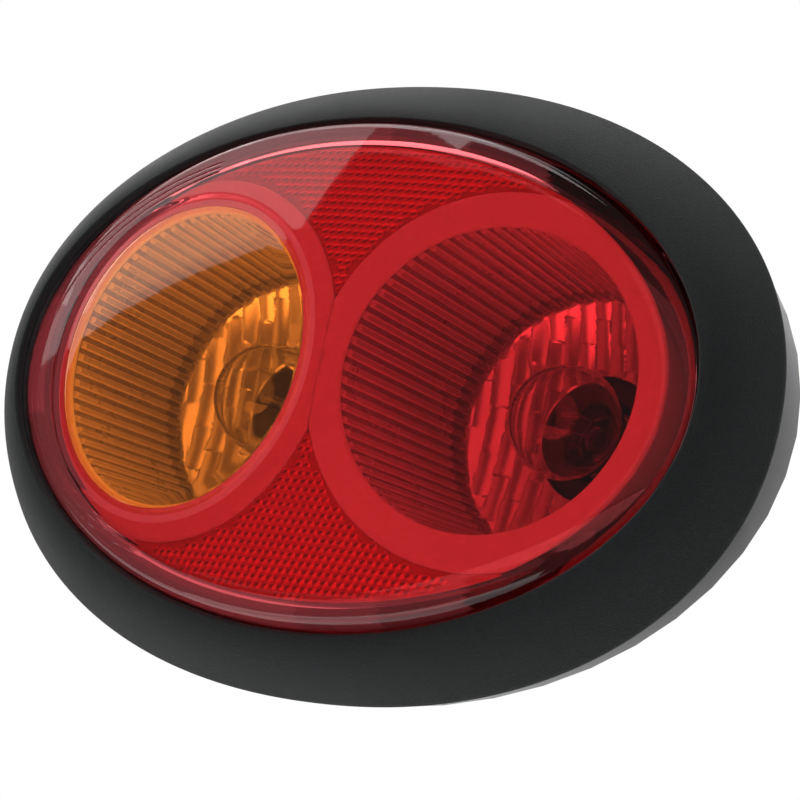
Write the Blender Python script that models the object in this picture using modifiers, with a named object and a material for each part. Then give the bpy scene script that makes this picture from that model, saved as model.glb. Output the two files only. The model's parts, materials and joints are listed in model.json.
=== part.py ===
"""Oval trailer tail light: an amber indicator and a red stop and tail lamp behind one lens.

The lamp is modelled with its front towards +Z of the lamp empty. That empty stands it upright,
with the front towards -Y, +Z up and the mounting face on the plane y = 0.
Sizes are in millimetres, and heights are measured from the plane of the lens rim.
"""
import math

import bmesh
import bpy

MM = 0.001
GAP = 0.3                   # clearance between pieces that touch

# Chambers behind the lens
TUNNEL_R = 33.4             # mouth of a ribbed tunnel
TUNNEL_WALL = 1.1           # wall of a tunnel outside its flutes
FLUTE_COUNT = 72            # flutes round a tunnel
FLUTE_DEPTH = 0.8           # depth of a flute
FLANGE_W = 8.1              # width of the flange round a tunnel's mouth
FLANGE_T = 1.5              # thickness of that flange
FLANGE_LAP = 2.4            # flange cut away where the two meet at the middle
AMBER_LAP = 1.4             # amber disc beyond the tunnel's mouth

# Lens
END_MARGIN = 6.2            # flange to lens rim, at the ends
SIDE_MARGIN = 15.4          # flange to lens rim, above and below
LENS_T = 2.6                # lens wall
LENS_CROWN = 11.6           # crown above the rim plane
LENS_END_DROP = 13.4        # fall of the dome from the crown to the ends
LENS_SIDE_DROP = 6.9        # fall of the dome from the crown to the sides
LENS_SHOULDER = 5.7         # rounded shoulder above the rim
LENS_CLEAR = 0.5            # pieces under the lens, below its inner face
LENS_RIM_SINK = 2.0         # rim below the rim plane
LENS_SKIRT = 5.0            # skirt below the rim
SEAL_T = 2.0                # bead under the skirt

# Bezel
BEZEL_W = 13.3              # width of the bezel
BEZEL_SQUARE = 2.12         # squareness of its outline, 2 for an ellipse
BEZEL_LIP = 1.4             # lip above the rim plane
BEZEL_BASE = 14.2           # lower edge below the rim plane
BEZEL_SKIRT_W = 2.2         # width of the lower edge outside the housing's flange
BEZEL_LIP_ROUND = 0.9       # rounded lip
BEZEL_EDGE = 1.0            # upright part of the lower edge
BEZEL_SWELL = 1.8           # fullness of the domed face
BEZEL_BANDS = 7             # bands across the domed face

# Housing
MOUNT_DEPTH = 30.0          # mounting face below the rim plane
GASKET_T = 2.0              # mounting gasket
GASKET_INSET = 0.6          # gasket inside the housing's rear edge
WALL = 2.2                  # housing wall
BACK_T = 2.5                # back plate
GROOVE_RISE = 10.9          # outer groove wall above its flange
FLANGE_RISE = 2.5           # thickness of the flange that carries the bezel
SKIRT_TAPER = 0.2           # inward taper of the outer wall
EDGE_ROUND = 1.4            # rounded rear edge
TURRET_WALL = 2.0           # wall of a bulb turret
TURRET_FLOOR = 2.5          # rear wall of a turret

# Reflector
RIM_DEPTH = 40.5            # reflector rim below the rim plane
TUNNEL_DRAFT = 3.1          # tunnel narrower at the reflector than at its mouth
RIM_SEAT = 0.8              # rim ledge beyond the tunnel's lower end
BULB_HOLE_R = 14.6          # opening for the bulb
DISH = 5.5                  # depth of the bowl
REFLECTOR_T = 1.4           # wall of the bowl
FACET_SECTORS = 24          # facets round the bowl
FACET_RINGS = 4             # rings of facets
FACET_BULGE = 0.45          # swell of a facet

# Reflex reflectors
REFLEX_T = 2.4              # thickness
REFLEX_HALF_W = 38.0        # half of the width
REFLEX_EDGE = 3.0           # inset from the lens wall

# Bulbs, single and double filament with a 15 mm bayonet cap
FILAMENT_DEPTH = 31.4       # filament below the rim plane
GLOBE_R = 12.7              # globe
GLASS_T = 0.7               # glass wall
NECK_SPREAD = 140.0         # globe's polar angle where the neck begins
NECK_DROP = 4.5             # taper from the globe to the neck
CAP_R = 7.5                 # cap
CAP_T = 0.4                 # cap wall
CAP_RISE = 12.7             # cap above the pins
CAP_FALL = 7.0              # cap below the pins
PIN_DEPTH = 31.8            # pins below the filament
PIN_R = 1.0                 # pin radius
PIN_REACH = 8.7             # pin tips from the axis
PIN_OFFSET = 3.0            # height between the two pins of the double filament bulb
INSULATOR_T = 2.4           # insulating disc
CONTACT_R = 1.7             # solder contact
CONTACT_T = 0.7             # height of a solder contact
CONTACT_SPACING = 7.0       # between the two contacts of the double filament bulb
STEM_H = 9.0                # glass stem
STEM_R = 3.2                # top of the stem
POST_SPACING = 6.0          # between the two posts of a filament
POST_H = 14.0               # height of the posts
WIRE_R = 0.35               # filament and posts
COIL_R = 0.9                # filament coil
COIL_TURNS = 4              # turns of the filament
SECOND_FILAMENT = 4.0       # tail filament beside the stop filament

# Holders
LUG_T = 2.0                 # bayonet lugs
LUG_REACH = 3.2             # lugs beyond the holder's nose
LUG_ANGLE = 24.0            # width of a lug
LUG_COUNT = 3
UNLOCK_ANGLE = 45.0         # turn that brings the lugs to the notches
NOTCH_CLEAR = 2.0           # notch beyond the lug, each way, in degrees
NOSE_R = 15.8               # holder inside the turret's hole
HOLDER_FLANGE_R = 21.0      # holder's flange
HOLDER_FLANGE_T = 2.8       # thickness of that flange
HOLDER_SEAL_T = 2.0         # seal under the flange
SEAL_W = 3.6                # width of that seal
HOLDER_BODY_R = 14.0        # body behind the flange
HOLDER_WALL = 2.1           # holder's rear wall
SPRING_SPACE = 5.5          # room for the spring
GRIP_COUNT = 6              # finger ribs
GRIP_W = 4.0                # width of a finger rib
GRIP_H = 2.0                # height of a finger rib
SLEEVE_T = 0.5              # metal sleeve
SLEEVE_COLLAR_H = 3.0       # collar at the sleeve's foot
PIN_CLEAR = 1.0             # holder's bore beyond the pin tips
PUSH = 2.5                  # travel of the bulb against its spring
BULB_TURN = 20.0            # turn of the bulb to its entry slots, in degrees
PLATE_T = 2.0               # sprung contact plate
SPRING_WIRE_R = 0.4
SPRING_R = 5.0
SPRING_TURNS = 3
SPRING_STEPS = 10           # steps round a turn of the spring
BLADE_W = 6.3               # blade terminals
BLADE_T = 0.8
BLADE_OUT = 9.0             # blade behind the holder
BLADE_X = 7.0               # blades from the axis

# Fasteners
STUD_INSET = 12.9           # studs inside the lens oval, above and below the middle
STUD_R = 3.0
STUD_HEAD_R = 6.0
STUD_HEAD_T = 2.0
STUD_OUT = 16.0             # stud behind the mounting face
PANEL_T = 2.5               # panel that the lamp is clamped to
WASHER_R = 6.0
WASHER_T = 1.6
NUT_R = 5.77                # across the corners
NUT_T = 5.0

OVAL_STEPS = 48             # steps round the oval pieces
ROUND_STEPS = 28            # steps round the large turned pieces
SMALL_STEPS = 16            # steps round the small turned pieces

# Sizes that follow from the ones above
FLANGE_R = TUNNEL_R + FLANGE_W
CHAMBER_X = FLANGE_R - FLANGE_LAP
RIM_R = TUNNEL_R - TUNNEL_DRAFT
AMBER_R = TUNNEL_R + AMBER_LAP
LENS_A = CHAMBER_X + FLANGE_R + END_MARGIN
LENS_B = FLANGE_R + SIDE_MARGIN
STUD_Y = LENS_B - STUD_INSET
SKIRT_FOOT = -(LENS_RIM_SINK + LENS_SKIRT)
SEAL_FOOT = SKIRT_FOOT - GAP - SEAL_T
GROOVE_FLOOR = SEAL_FOOT - GAP
FLANGE_TOP = -(BEZEL_BASE - FLANGE_RISE)
FLANGE_FOOT = -BEZEL_BASE
GROOVE_TOP = FLANGE_TOP + GROOVE_RISE
FLANGE_UNDER = min(GROOVE_FLOOR, FLANGE_TOP) - WALL
BACK_REAR = -(MOUNT_DEPTH - GASKET_T - GAP)
BACK_FRONT = BACK_REAR + BACK_T
RIM_Z = -RIM_DEPTH
HOLE_Z = RIM_Z - DISH
TUNNEL_FOOT = RIM_Z + GAP
TUNNEL_OUT_TOP = TUNNEL_R + FLUTE_DEPTH + TUNNEL_WALL
TUNNEL_OUT_FOOT = RIM_R + FLUTE_DEPTH + TUNNEL_WALL
LEDGE_R = TUNNEL_OUT_FOOT + RIM_SEAT
LEDGE_FOOT = RIM_Z - REFLECTOR_T
TUNNEL_TAPER = (TUNNEL_OUT_TOP - TUNNEL_OUT_FOOT) / (LENS_CROWN - TUNNEL_FOOT)
TUNNEL_OUT_BACK = TUNNEL_OUT_FOOT + TUNNEL_TAPER * (BACK_FRONT - TUNNEL_FOOT + LENS_CROWN)
TURRET_BORE = max(TUNNEL_OUT_BACK, LEDGE_R) + GAP
TURRET_R = TURRET_BORE + TURRET_WALL
TURRET_SEAT_R = RIM_R
HOLDER_TOP = HOLE_Z - REFLECTOR_T - 4.0 * GAP
FLOOR_FRONT = HOLDER_TOP - LUG_T - GAP
FLOOR_REAR = FLOOR_FRONT - TURRET_FLOOR
TURRET_HOLE_R = NOSE_R + 2.0 * GAP
LUG_R = NOSE_R + LUG_REACH
HOLDER_SEAL_TOP = FLOOR_REAR - GAP
HOLDER_SEAL_FOOT = HOLDER_SEAL_TOP - HOLDER_SEAL_T
HOLDER_FLANGE_TOP = HOLDER_SEAL_FOOT - GAP
HOLDER_FLANGE_FOOT = HOLDER_FLANGE_TOP - HOLDER_FLANGE_T
FILAMENT_Z = -FILAMENT_DEPTH
PIN_Z = FILAMENT_Z - PIN_DEPTH
CAP_TOP = PIN_Z + CAP_RISE
CAP_FOOT = PIN_Z - CAP_FALL
NECK_R = CAP_R - CAP_T - GAP
INSULATOR_FOOT = CAP_FOOT - GAP
CONTACT_TOP = INSULATOR_FOOT - GAP
CONTACT_FOOT = CONTACT_TOP - CONTACT_T
RIVET_TOP = CONTACT_FOOT - GAP
RIVET_H = 0.5
PLATE_TOP = RIVET_TOP - RIVET_H - GAP
PLATE_FOOT = PLATE_TOP - PLATE_T
HOLDER_FLOOR = PLATE_FOOT - SPRING_SPACE
HOLDER_FOOT = HOLDER_FLOOR - HOLDER_WALL
SLEEVE_BORE = CAP_R + GAP
SLEEVE_R = SLEEVE_BORE + SLEEVE_T
HOLDER_BORE = PIN_REACH + PIN_CLEAR
SLEEVE_FOOT = HOLDER_FLOOR + GAP
SLEEVE_TOP = PIN_Z + PIN_OFFSET + PIN_R + 5.0
PLATE_R = SLEEVE_BORE - 1.5 * GAP


def clear_scene():
    """Remove every object of the scene."""
    for obj in list(bpy.data.objects):
        bpy.data.objects.remove(obj, do_unlink=True)


def new_collection(name):
    """Make a collection under the scene's own."""
    collection = bpy.data.collections.new(name)
    bpy.context.scene.collection.children.link(collection)
    return collection


def new_material(name, colour, roughness, metallic=0.0, transmission=0.0):
    """Make a Principled material."""
    material = bpy.data.materials.new(name)
    material.use_nodes = True
    shader = material.node_tree.nodes["Principled BSDF"]
    shader.inputs["Base Color"].default_value = (*colour, 1.0)
    shader.inputs["Roughness"].default_value = roughness
    shader.inputs["Metallic"].default_value = metallic
    shader.inputs["Transmission Weight"].default_value = transmission
    return material


def baked(obj):
    """Turn an object's evaluated shape into a welded mesh and remove the object."""
    bpy.context.view_layer.update()
    graph = bpy.context.evaluated_depsgraph_get()
    mesh = bpy.data.meshes.new_from_object(obj.evaluated_get(graph))
    bpy.data.objects.remove(obj, do_unlink=True)
    shape = bmesh.new()
    shape.from_mesh(mesh)
    bmesh.ops.remove_doubles(shape, verts=shape.verts, dist=1e-6)
    bmesh.ops.recalc_face_normals(shape, faces=shape.faces)
    shape.to_mesh(mesh)
    shape.free()
    return mesh


def turned(profile, steps, closed=False):
    """Turn a profile of (radius, height) about Z; a closed profile makes a ring."""
    points = [(radius * MM, 0.0, height * MM) for radius, height in profile]
    edges = [(i, i + 1) for i in range(len(points) - 1)]
    if closed:
        edges.append((len(points) - 1, 0))
    mesh = bpy.data.meshes.new("profile")
    mesh.from_pydata(points, edges, [])
    obj = bpy.data.objects.new("profile", mesh)
    bpy.context.scene.collection.objects.link(obj)
    screw = obj.modifiers.new("Turn", "SCREW")
    screw.steps = steps
    screw.render_steps = steps
    screw.use_merge_vertices = True
    screw.merge_threshold = 1e-6
    return baked(obj)


def prism(loops, low, high):
    """Extrude flat outlines, the inner ones as holes, between two heights."""
    curve = bpy.data.curves.new("outline", "CURVE")
    curve.dimensions = "2D"
    curve.fill_mode = "BOTH"
    curve.extrude = (high - low) / 2.0 * MM
    for loop in loops:
        spline = curve.splines.new("POLY")
        spline.points.add(len(loop) - 1)
        for point, (x, y) in zip(spline.points, loop):
            point.co = (x * MM, y * MM, 0.0, 1.0)
        spline.use_cyclic_u = True
    obj = bpy.data.objects.new("outline", curve)
    bpy.context.scene.collection.objects.link(obj)
    mesh = baked(obj)
    move(mesh, lambda x, y, z: (x, y, z + (low + high) / 2.0))
    return mesh


def wire(path, radius, resolution=0):
    """Sweep a round wire along a path."""
    curve = bpy.data.curves.new("wire", "CURVE")
    curve.dimensions = "3D"
    curve.bevel_depth = radius * MM
    curve.bevel_resolution = resolution
    curve.use_fill_caps = True
    spline = curve.splines.new("POLY")
    spline.points.add(len(path) - 1)
    for point, (x, y, z) in zip(spline.points, path):
        point.co = (x * MM, y * MM, z * MM, 1.0)
    obj = bpy.data.objects.new("wire", curve)
    bpy.context.scene.collection.objects.link(obj)
    return baked(obj)


def move(mesh, rule):
    """Move each point of a mesh by a rule in millimetres."""
    for vertex in mesh.vertices:
        x, y, z = (c / MM for c in vertex.co)
        vertex.co = [c * MM for c in rule(x, y, z)]
    mesh.update()


def joined(meshes):
    """Put several separate bodies in one mesh."""
    shape = bmesh.new()
    for mesh in meshes:
        shape.from_mesh(mesh)
    result = bpy.data.meshes.new("bodies")
    shape.to_mesh(result)
    shape.free()
    return result


def box(centre, size):
    """A box from its centre and size."""
    shape = bmesh.new()
    bmesh.ops.create_cube(shape, size=1.0)
    for vertex in shape.verts:
        vertex.co = [(c + s * v) * MM for c, s, v in zip(centre, size, vertex.co)]
    mesh = bpy.data.meshes.new("box")
    shape.to_mesh(mesh)
    shape.free()
    return mesh


def circle(radius, steps, x=0.0, y=0.0):
    """Points round a circle."""
    turns = [2.0 * math.pi * i / steps for i in range(steps)]
    return [(x + radius * math.cos(t), y + radius * math.sin(t)) for t in turns]


def oval(inset, steps=OVAL_STEPS):
    """Points round the lens oval, offset outwards or, when negative, inwards."""
    turns = [2.0 * math.pi * i / steps for i in range(steps)]
    return [((LENS_A + inset) * math.cos(t), (LENS_B + inset) * math.sin(t)) for t in turns]


def loft(rings, closed):
    """Join rings of points; an open loft is closed with flat ends or with a single point."""
    shape = bmesh.new()
    loops = [[shape.verts.new([c * MM for c in point]) for point in ring] for ring in rings]
    pairs = list(zip(loops, loops[1:]))
    if closed:
        pairs.append((loops[-1], loops[0]))
    for lower, upper in pairs:
        if len(lower) == 1 or len(upper) == 1:
            tip, loop = (lower[0], upper) if len(lower) == 1 else (upper[0], lower)
            for i, vertex in enumerate(loop):
                shape.faces.new((tip, vertex, loop[(i + 1) % len(loop)]))
            continue
        for i in range(len(lower)):
            k = (i + 1) % len(lower)
            shape.faces.new((lower[i], lower[k], upper[k], upper[i]))
    if not closed:
        for loop in (loops[0], loops[-1]):
            if len(loop) > 1:
                shape.faces.new(loop)
    bmesh.ops.recalc_face_normals(shape, faces=shape.faces)
    mesh = bpy.data.meshes.new("loft")
    shape.to_mesh(mesh)
    shape.free()
    return mesh


def oval_section(section, closed):
    """Carry a section of (offset, height) round the lens oval."""
    return loft([[(x, y, z) for x, y in oval(offset)] for offset, z in section], closed)


def dome(x, y):
    """Height of the lens dome."""
    return LENS_CROWN - LENS_END_DROP * (x / LENS_A) ** 2 - LENS_SIDE_DROP * (y / LENS_B) ** 2


def lens_height(x, y, inset):
    """Height of the lens surface with its rounded shoulder."""
    long_half = LENS_A - inset
    short_half = LENS_B - inset
    share = math.hypot(x / long_half, y / short_half)
    start = 1.0 - LENS_SHOULDER / LENS_B
    if share <= start:
        return dome(x, y) - inset
    turn = min((share - start) / (1.0 - start), 1.0)
    fall = 1.0 - math.sqrt(max(0.0, 1.0 - turn * turn))
    rim = dome(x / share, y / share)
    return dome(x, y) - inset - fall * (rim + LENS_RIM_SINK)


def shaded(mesh, angle=35.0):
    """Shade a mesh smooth except at its edges."""
    mesh.shade_smooth()
    mesh.set_sharp_from_angle(angle=math.radians(angle))
    return mesh


def add(name, mesh, material, parent):
    """Make a piece of the lamp."""
    mesh.name = name
    mesh.materials.clear()
    mesh.materials.append(material)
    obj = bpy.data.objects.new(name, shaded(mesh))
    PARTS.objects.link(obj)
    obj.parent = parent
    return obj


def cutter(name, mesh, parent):
    """Make a hidden body that shapes a piece."""
    mesh.name = name
    obj = bpy.data.objects.new(name, mesh)
    CUTTERS.objects.link(obj)
    obj.parent = parent
    obj.hide_render = True
    obj.display_type = "WIRE"
    return obj


def combine(obj, other, operation):
    """Cut a piece with another body, join it or keep what they share."""
    boolean = obj.modifiers.new(other.name, "BOOLEAN")
    boolean.operation = operation
    boolean.solver = "EXACT"
    boolean.object = other


def new_empty(name, parent, location):
    """Make an empty that pieces are placed by."""
    empty = bpy.data.objects.new(name, None)
    PARTS.objects.link(empty)
    empty.parent = parent
    empty.location = [c * MM for c in location]
    return empty


clear_scene()
PARTS = new_collection("trailer_tail_light")
CUTTERS = new_collection("cutters")
LAMP = new_empty("lamp", None, (0.0, -MOUNT_DEPTH, 0.0))
LAMP.rotation_euler = (math.pi / 2.0, 0.0, 0.0)
INDICATOR = new_empty("indicator_axis", LAMP, (-CHAMBER_X, 0.0, 0.0))
STOP_TAIL = new_empty("stop_tail_axis", LAMP, (CHAMBER_X, 0.0, 0.0))

BLACK_SOFT = new_material("soft_black", (0.030, 0.032, 0.034), 0.75)
BLACK_GLOSS = new_material("gloss_black", (0.012, 0.012, 0.013), 0.15)
BLACK_MATT = new_material("matt_black", (0.02, 0.02, 0.02), 0.6)
RUBBER = new_material("rubber", (0.015, 0.015, 0.015), 0.85)
RED = new_material("red_lens", (0.75, 0.02, 0.03), 0.08, 0.0, 0.8)
AMBER = new_material("amber_lens", (0.95, 0.38, 0.03), 0.08, 0.0, 0.8)
SILVER = new_material("silver", (0.85, 0.85, 0.86), 0.12, 1.0)
GREY = new_material("grey_insert", (0.42, 0.42, 0.43), 0.4, 0.4)
CLEAR = new_material("clear", (0.97, 0.97, 0.97), 0.03, 0.0, 1.0)
BRASS = new_material("plated_brass", (0.75, 0.70, 0.58), 0.3, 1.0)
STEEL = new_material("zinc_steel", (0.66, 0.67, 0.69), 0.35, 1.0)
TUNGSTEN = new_material("tungsten", (0.35, 0.35, 0.36), 0.4, 1.0)
SOLDER = new_material("solder", (0.7, 0.7, 0.7), 0.4, 1.0)


def make_lens():
    """Red lens with its skirt, and the amber disc set in it."""
    shares = (0.35, 0.65, 0.9, 0.95, 0.985, 1.0)
    rings = [[(0.0, 0.0, lens_height(0.0, 0.0, 0.0))]]
    for share in shares:
        ring = [(share * x, share * y) for x, y in oval(0.0)]
        rings.append([(x, y, lens_height(x, y, 0.0)) for x, y in ring])
    rings.append([(x, y, SKIRT_FOOT) for x, y in oval(0.0)])
    rings.append([(x, y, SKIRT_FOOT) for x, y in oval(-LENS_T)])
    for share in (1.0, 0.985, 0.95, 0.9, 0.75, 0.55, 0.3):
        ring = [(share * x, share * y) for x, y in oval(-LENS_T)]
        rings.append([(x, y, lens_height(x, y, LENS_T)) for x, y in ring])
    rings.append([(0.0, 0.0, lens_height(0.0, 0.0, LENS_T))])
    red = add("red_lens", loft(rings, False), RED, LAMP)
    hole = prism([circle(AMBER_R + GAP, OVAL_STEPS)], -LENS_CROWN, 2.0 * LENS_CROWN)
    combine(red, cutter("amber_hole", hole, INDICATOR), "DIFFERENCE")

    shares = (0.45, 0.8, 1.0)
    rings = [[(0.0, 0.0)]]
    rings += [circle(AMBER_R * share, OVAL_STEPS) for share in shares]
    front = [[(x, y, lens_height(x - CHAMBER_X, y, 0.0)) for x, y in ring] for ring in rings]
    back = [[(x, y, lens_height(x - CHAMBER_X, y, LENS_T)) for x, y in ring] for ring in rings]
    add("amber_lens", loft(front + back[::-1], False), AMBER, INDICATOR)

    seal = [(-LENS_T, SKIRT_FOOT - GAP), (0.0, SKIRT_FOOT - GAP), (0.0, SEAL_FOOT), (-LENS_T, SEAL_FOOT)]
    add("lens_seal", oval_section(seal, True), RUBBER, LAMP)


GROOVE_IN = -LENS_T - GAP           # groove that takes the lens skirt and its bead
GROOVE_OUT = GAP
TUB_IN = GROOVE_IN - WALL           # inner wall of the housing
COLLAR_OUT = GROOVE_OUT + WALL      # outer groove wall, inside the bezel
FLANGE_OUT = BEZEL_W - BEZEL_SKIRT_W


def make_bezel():
    """Soft domed ring that grips the housing's flange."""
    lip = GROOVE_OUT + GAP
    turns = [2.0 * math.pi * i / OVAL_STEPS for i in range(OVAL_STEPS)]
    section = [(0.0, GROOVE_TOP + GAP), (0.0, BEZEL_LIP - BEZEL_LIP_ROUND)]
    start = BEZEL_LIP_ROUND / BEZEL_W
    for i in range(BEZEL_BANDS):
        share = start + (1.0 - start) * i / (BEZEL_BANDS - 1)
        section.append((share, BEZEL_LIP - (BEZEL_LIP + BEZEL_BASE - BEZEL_EDGE) * share ** BEZEL_SWELL))
    section.append((1.0, FLANGE_FOOT))
    rings = []
    for share, height in section:
        offset = lip + (BEZEL_W - lip) * share
        power = 2.0 / (2.0 + (BEZEL_SQUARE - 2.0) * share)
        ring = []
        for t in turns:
            x = (LENS_A + offset) * math.copysign(abs(math.cos(t)) ** power, math.cos(t))
            y = (LENS_B + offset) * math.copysign(abs(math.sin(t)) ** power, math.sin(t))
            ring.append((x, y, height))
        rings.append(ring)
    under = [
        (FLANGE_OUT + GAP, FLANGE_FOOT),
        (FLANGE_OUT + GAP, FLANGE_TOP + GAP),
        (COLLAR_OUT + GAP, FLANGE_TOP + GAP),
        (COLLAR_OUT + GAP, GROOVE_TOP + GAP),
    ]
    rings += [[(x, y, z) for x, y in oval(offset)] for offset, z in under]
    add("outer_bezel", loft(rings, True), BLACK_SOFT, LAMP)


def make_housing():
    """Tub with a lens groove, a flange for the bezel, an outer skirt and two bulb turrets."""
    skirt_foot = FLANGE_OUT - SKIRT_TAPER
    section = [
        (TUB_IN, BACK_FRONT),
        (TUB_IN, SKIRT_FOOT),
        (GROOVE_IN, SKIRT_FOOT),
        (GROOVE_IN, GROOVE_FLOOR),
        (GROOVE_OUT, GROOVE_FLOOR),
        (GROOVE_OUT, GROOVE_TOP),
        (COLLAR_OUT, GROOVE_TOP),
        (COLLAR_OUT, FLANGE_TOP),
        (FLANGE_OUT, FLANGE_TOP),
        (FLANGE_OUT, FLANGE_FOOT),
        (skirt_foot, BACK_REAR + EDGE_ROUND),
        (skirt_foot - EDGE_ROUND, BACK_REAR),
        (skirt_foot - EDGE_ROUND - WALL, BACK_REAR),
        (FLANGE_OUT - EDGE_ROUND - WALL, FLANGE_UNDER),
        (GROOVE_IN, FLANGE_UNDER),
        (GROOVE_IN, BACK_REAR),
    ]
    housing = add("rear_housing", oval_section(section, False), BLACK_GLOSS, LAMP)
    turret = [
        (TURRET_HOLE_R, FLOOR_FRONT),
        (TURRET_SEAT_R, FLOOR_FRONT),
        (TURRET_SEAT_R, LEDGE_FOOT - GAP),
        (TURRET_BORE, LEDGE_FOOT - GAP),
        (TURRET_BORE, BACK_FRONT + GAP),
        (TURRET_R, BACK_FRONT + GAP),
        (TURRET_R, FLOOR_REAR),
        (TURRET_HOLE_R, FLOOR_REAR),
    ]
    notch = []
    half = math.radians(LUG_ANGLE / 2.0 + NOTCH_CLEAR)
    for k in range(LUG_COUNT):
        middle = 2.0 * math.pi * k / LUG_COUNT - math.radians(UNLOCK_ANGLE)
        outer = [middle + half * s for s in (-1.0, -0.5, 0.0, 0.5, 1.0)]
        reach = LUG_R + 2.0 * GAP
        inner = TURRET_HOLE_R - WALL
        loop = [(reach * math.cos(t), reach * math.sin(t)) for t in outer]
        loop += [(inner * math.cos(t), inner * math.sin(t)) for t in (middle + half, middle - half)]
        notch.append(prism([loop], FLOOR_REAR - TURRET_FLOOR, FLOOR_FRONT + TURRET_FLOOR))
    for name, axis in (("indicator", INDICATOR), ("stop_tail", STOP_TAIL)):
        hole = prism([circle((TURRET_BORE + TURRET_R) / 2.0, ROUND_STEPS)], BACK_REAR - BACK_T, BACK_FRONT + BACK_T)
        combine(housing, cutter(name + "_turret_hole", hole, axis), "DIFFERENCE")
        body = turned(turret, ROUND_STEPS, True)
        combine(housing, cutter(name + "_turret", body, axis), "UNION")
        combine(housing, cutter(name + "_notches", joined(notch), axis), "DIFFERENCE")
    holes = []
    for side in (-1.0, 1.0):
        loop = circle(STUD_R + GAP, SMALL_STEPS, 0.0, side * STUD_Y)
        holes.append(prism([loop], BACK_REAR - BACK_T, BACK_FRONT + BACK_T))
    combine(housing, cutter("stud_holes", joined(holes), LAMP), "DIFFERENCE")

    outer = oval(skirt_foot - EDGE_ROUND - GASKET_INSET)
    turret_r = TURRET_R + 2.0 * GAP
    loops = [outer, circle(turret_r, ROUND_STEPS, -CHAMBER_X), circle(turret_r, ROUND_STEPS, CHAMBER_X)]
    loops += [circle(STUD_R + GAP, SMALL_STEPS, 0.0, side * STUD_Y) for side in (-1.0, 1.0)]
    gasket = prism(loops, -MOUNT_DEPTH, -MOUNT_DEPTH + GASKET_T)
    add("mounting_gasket", gasket, RUBBER, LAMP)


def make_insert(name, axis, side):
    """Fluted tunnel with its half of the figure-8 flange under the lens."""
    section = [
        (TUNNEL_R, 0.0),
        (FLANGE_R, 0.0),
        (FLANGE_R, -FLANGE_T),
        (TUNNEL_OUT_TOP, -FLANGE_T),
        (TUNNEL_OUT_FOOT, TUNNEL_FOOT),
        (RIM_R, TUNNEL_FOOT),
    ]
    mesh = turned(section, 2 * FLUTE_COUNT, True)

    def rule(x, y, z):
        radius = math.hypot(x, y)
        step = round(math.atan2(y, x) / math.pi * FLUTE_COUNT)
        if radius < min(TUNNEL_OUT_TOP, TUNNEL_OUT_FOOT) - 1e-3 and step % 2:
            x *= (radius + FLUTE_DEPTH) / radius
            y *= (radius + FLUTE_DEPTH) / radius
        elif abs(radius - TUNNEL_R) < 1e-3 and step % 2:
            x *= (radius + FLUTE_DEPTH) / radius
            y *= (radius + FLUTE_DEPTH) / radius
        if z > TUNNEL_FOOT / 2.0:
            z += lens_height(x + side * CHAMBER_X, y, LENS_T) - LENS_CLEAR
        return x, y, z

    move(mesh, rule)
    insert = add(name + "_insert", mesh, GREY, axis)
    width = 2.0 * FLANGE_R
    middle = -side * (CHAMBER_X + width / 2.0 - GAP / 2.0)
    block = box((middle, 0.0, 0.0), (width, 2.0 * width, 4.0 * MOUNT_DEPTH))
    combine(insert, cutter(name + "_split", block, axis), "DIFFERENCE")


def make_reflector(name, axis):
    """Shallow bowl of swelling facets with a ledge that sits in the turret."""
    reach = RIM_R - BULB_HOLE_R
    front = []
    for i in range(FACET_RINGS + 1):
        radius = BULB_HOLE_R + reach * i / FACET_RINGS
        rise = (radius ** 2 - BULB_HOLE_R ** 2) / (RIM_R ** 2 - BULB_HOLE_R ** 2)
        front.append((radius, HOLE_Z + DISH * rise))
    section = front + [(LEDGE_R, RIM_Z), (LEDGE_R, LEDGE_FOOT)]
    section += [(RIM_R - REFLECTOR_T, LEDGE_FOOT), (BULB_HOLE_R, HOLE_Z - REFLECTOR_T)]
    mesh = turned(section, FACET_SECTORS, True)
    shape = bmesh.new()
    shape.from_mesh(mesh)
    facets = []
    for face in shape.faces:
        centre = face.calc_center_median() / MM
        if face.normal.z > 0.5 and math.hypot(centre.x, centre.y) < RIM_R:
            facets.append(face)
    bmesh.ops.poke(shape, faces=facets, offset=FACET_BULGE * MM)
    shape.to_mesh(mesh)
    shape.free()
    add(name + "_reflector", mesh, SILVER, axis)


def make_reflex(name, side):
    """Reflex reflector between the flanges, close under the lens."""
    clear_r = FLANGE_R + 2.0 * GAP
    count = 24
    top = []
    low = []
    for i in range(count + 1):
        x = REFLEX_HALF_W * (2.0 * i / count - 1.0)
        near = CHAMBER_X - abs(x)
        low.append((x, side * math.sqrt(max(clear_r ** 2 - near ** 2, 0.0))))
        edge = LENS_T + REFLEX_EDGE
        share = 1.0 - (x / (LENS_A - edge)) ** 2
        top.append((x, side * (LENS_B - edge) * math.sqrt(share)))
    region = prism([top + low[::-1]], -LENS_CROWN, 2.0 * LENS_CROWN)
    shape = bmesh.new()
    bmesh.ops.create_grid(shape, x_segments=12, y_segments=8, size=1.0)
    mesh = bpy.data.meshes.new("grid")
    shape.to_mesh(mesh)
    shape.free()
    width = REFLEX_HALF_W + REFLEX_T

    def rule(x, y, z):
        x *= MM * width
        y = side * (LENS_B - LENS_T) * (0.5 + 0.5 * y * MM)
        return x, y, lens_height(x, y, LENS_T) - LENS_CLEAR

    move(mesh, rule)
    reflex = add(name, mesh, RED, LAMP)
    solidify = reflex.modifiers.new("Thickness", "SOLIDIFY")
    solidify.thickness = REFLEX_T * MM
    solidify.offset = -1.0 if side > 0.0 else 1.0
    combine(reflex, cutter(name + "_region", region, LAMP), "INTERSECT")


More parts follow.
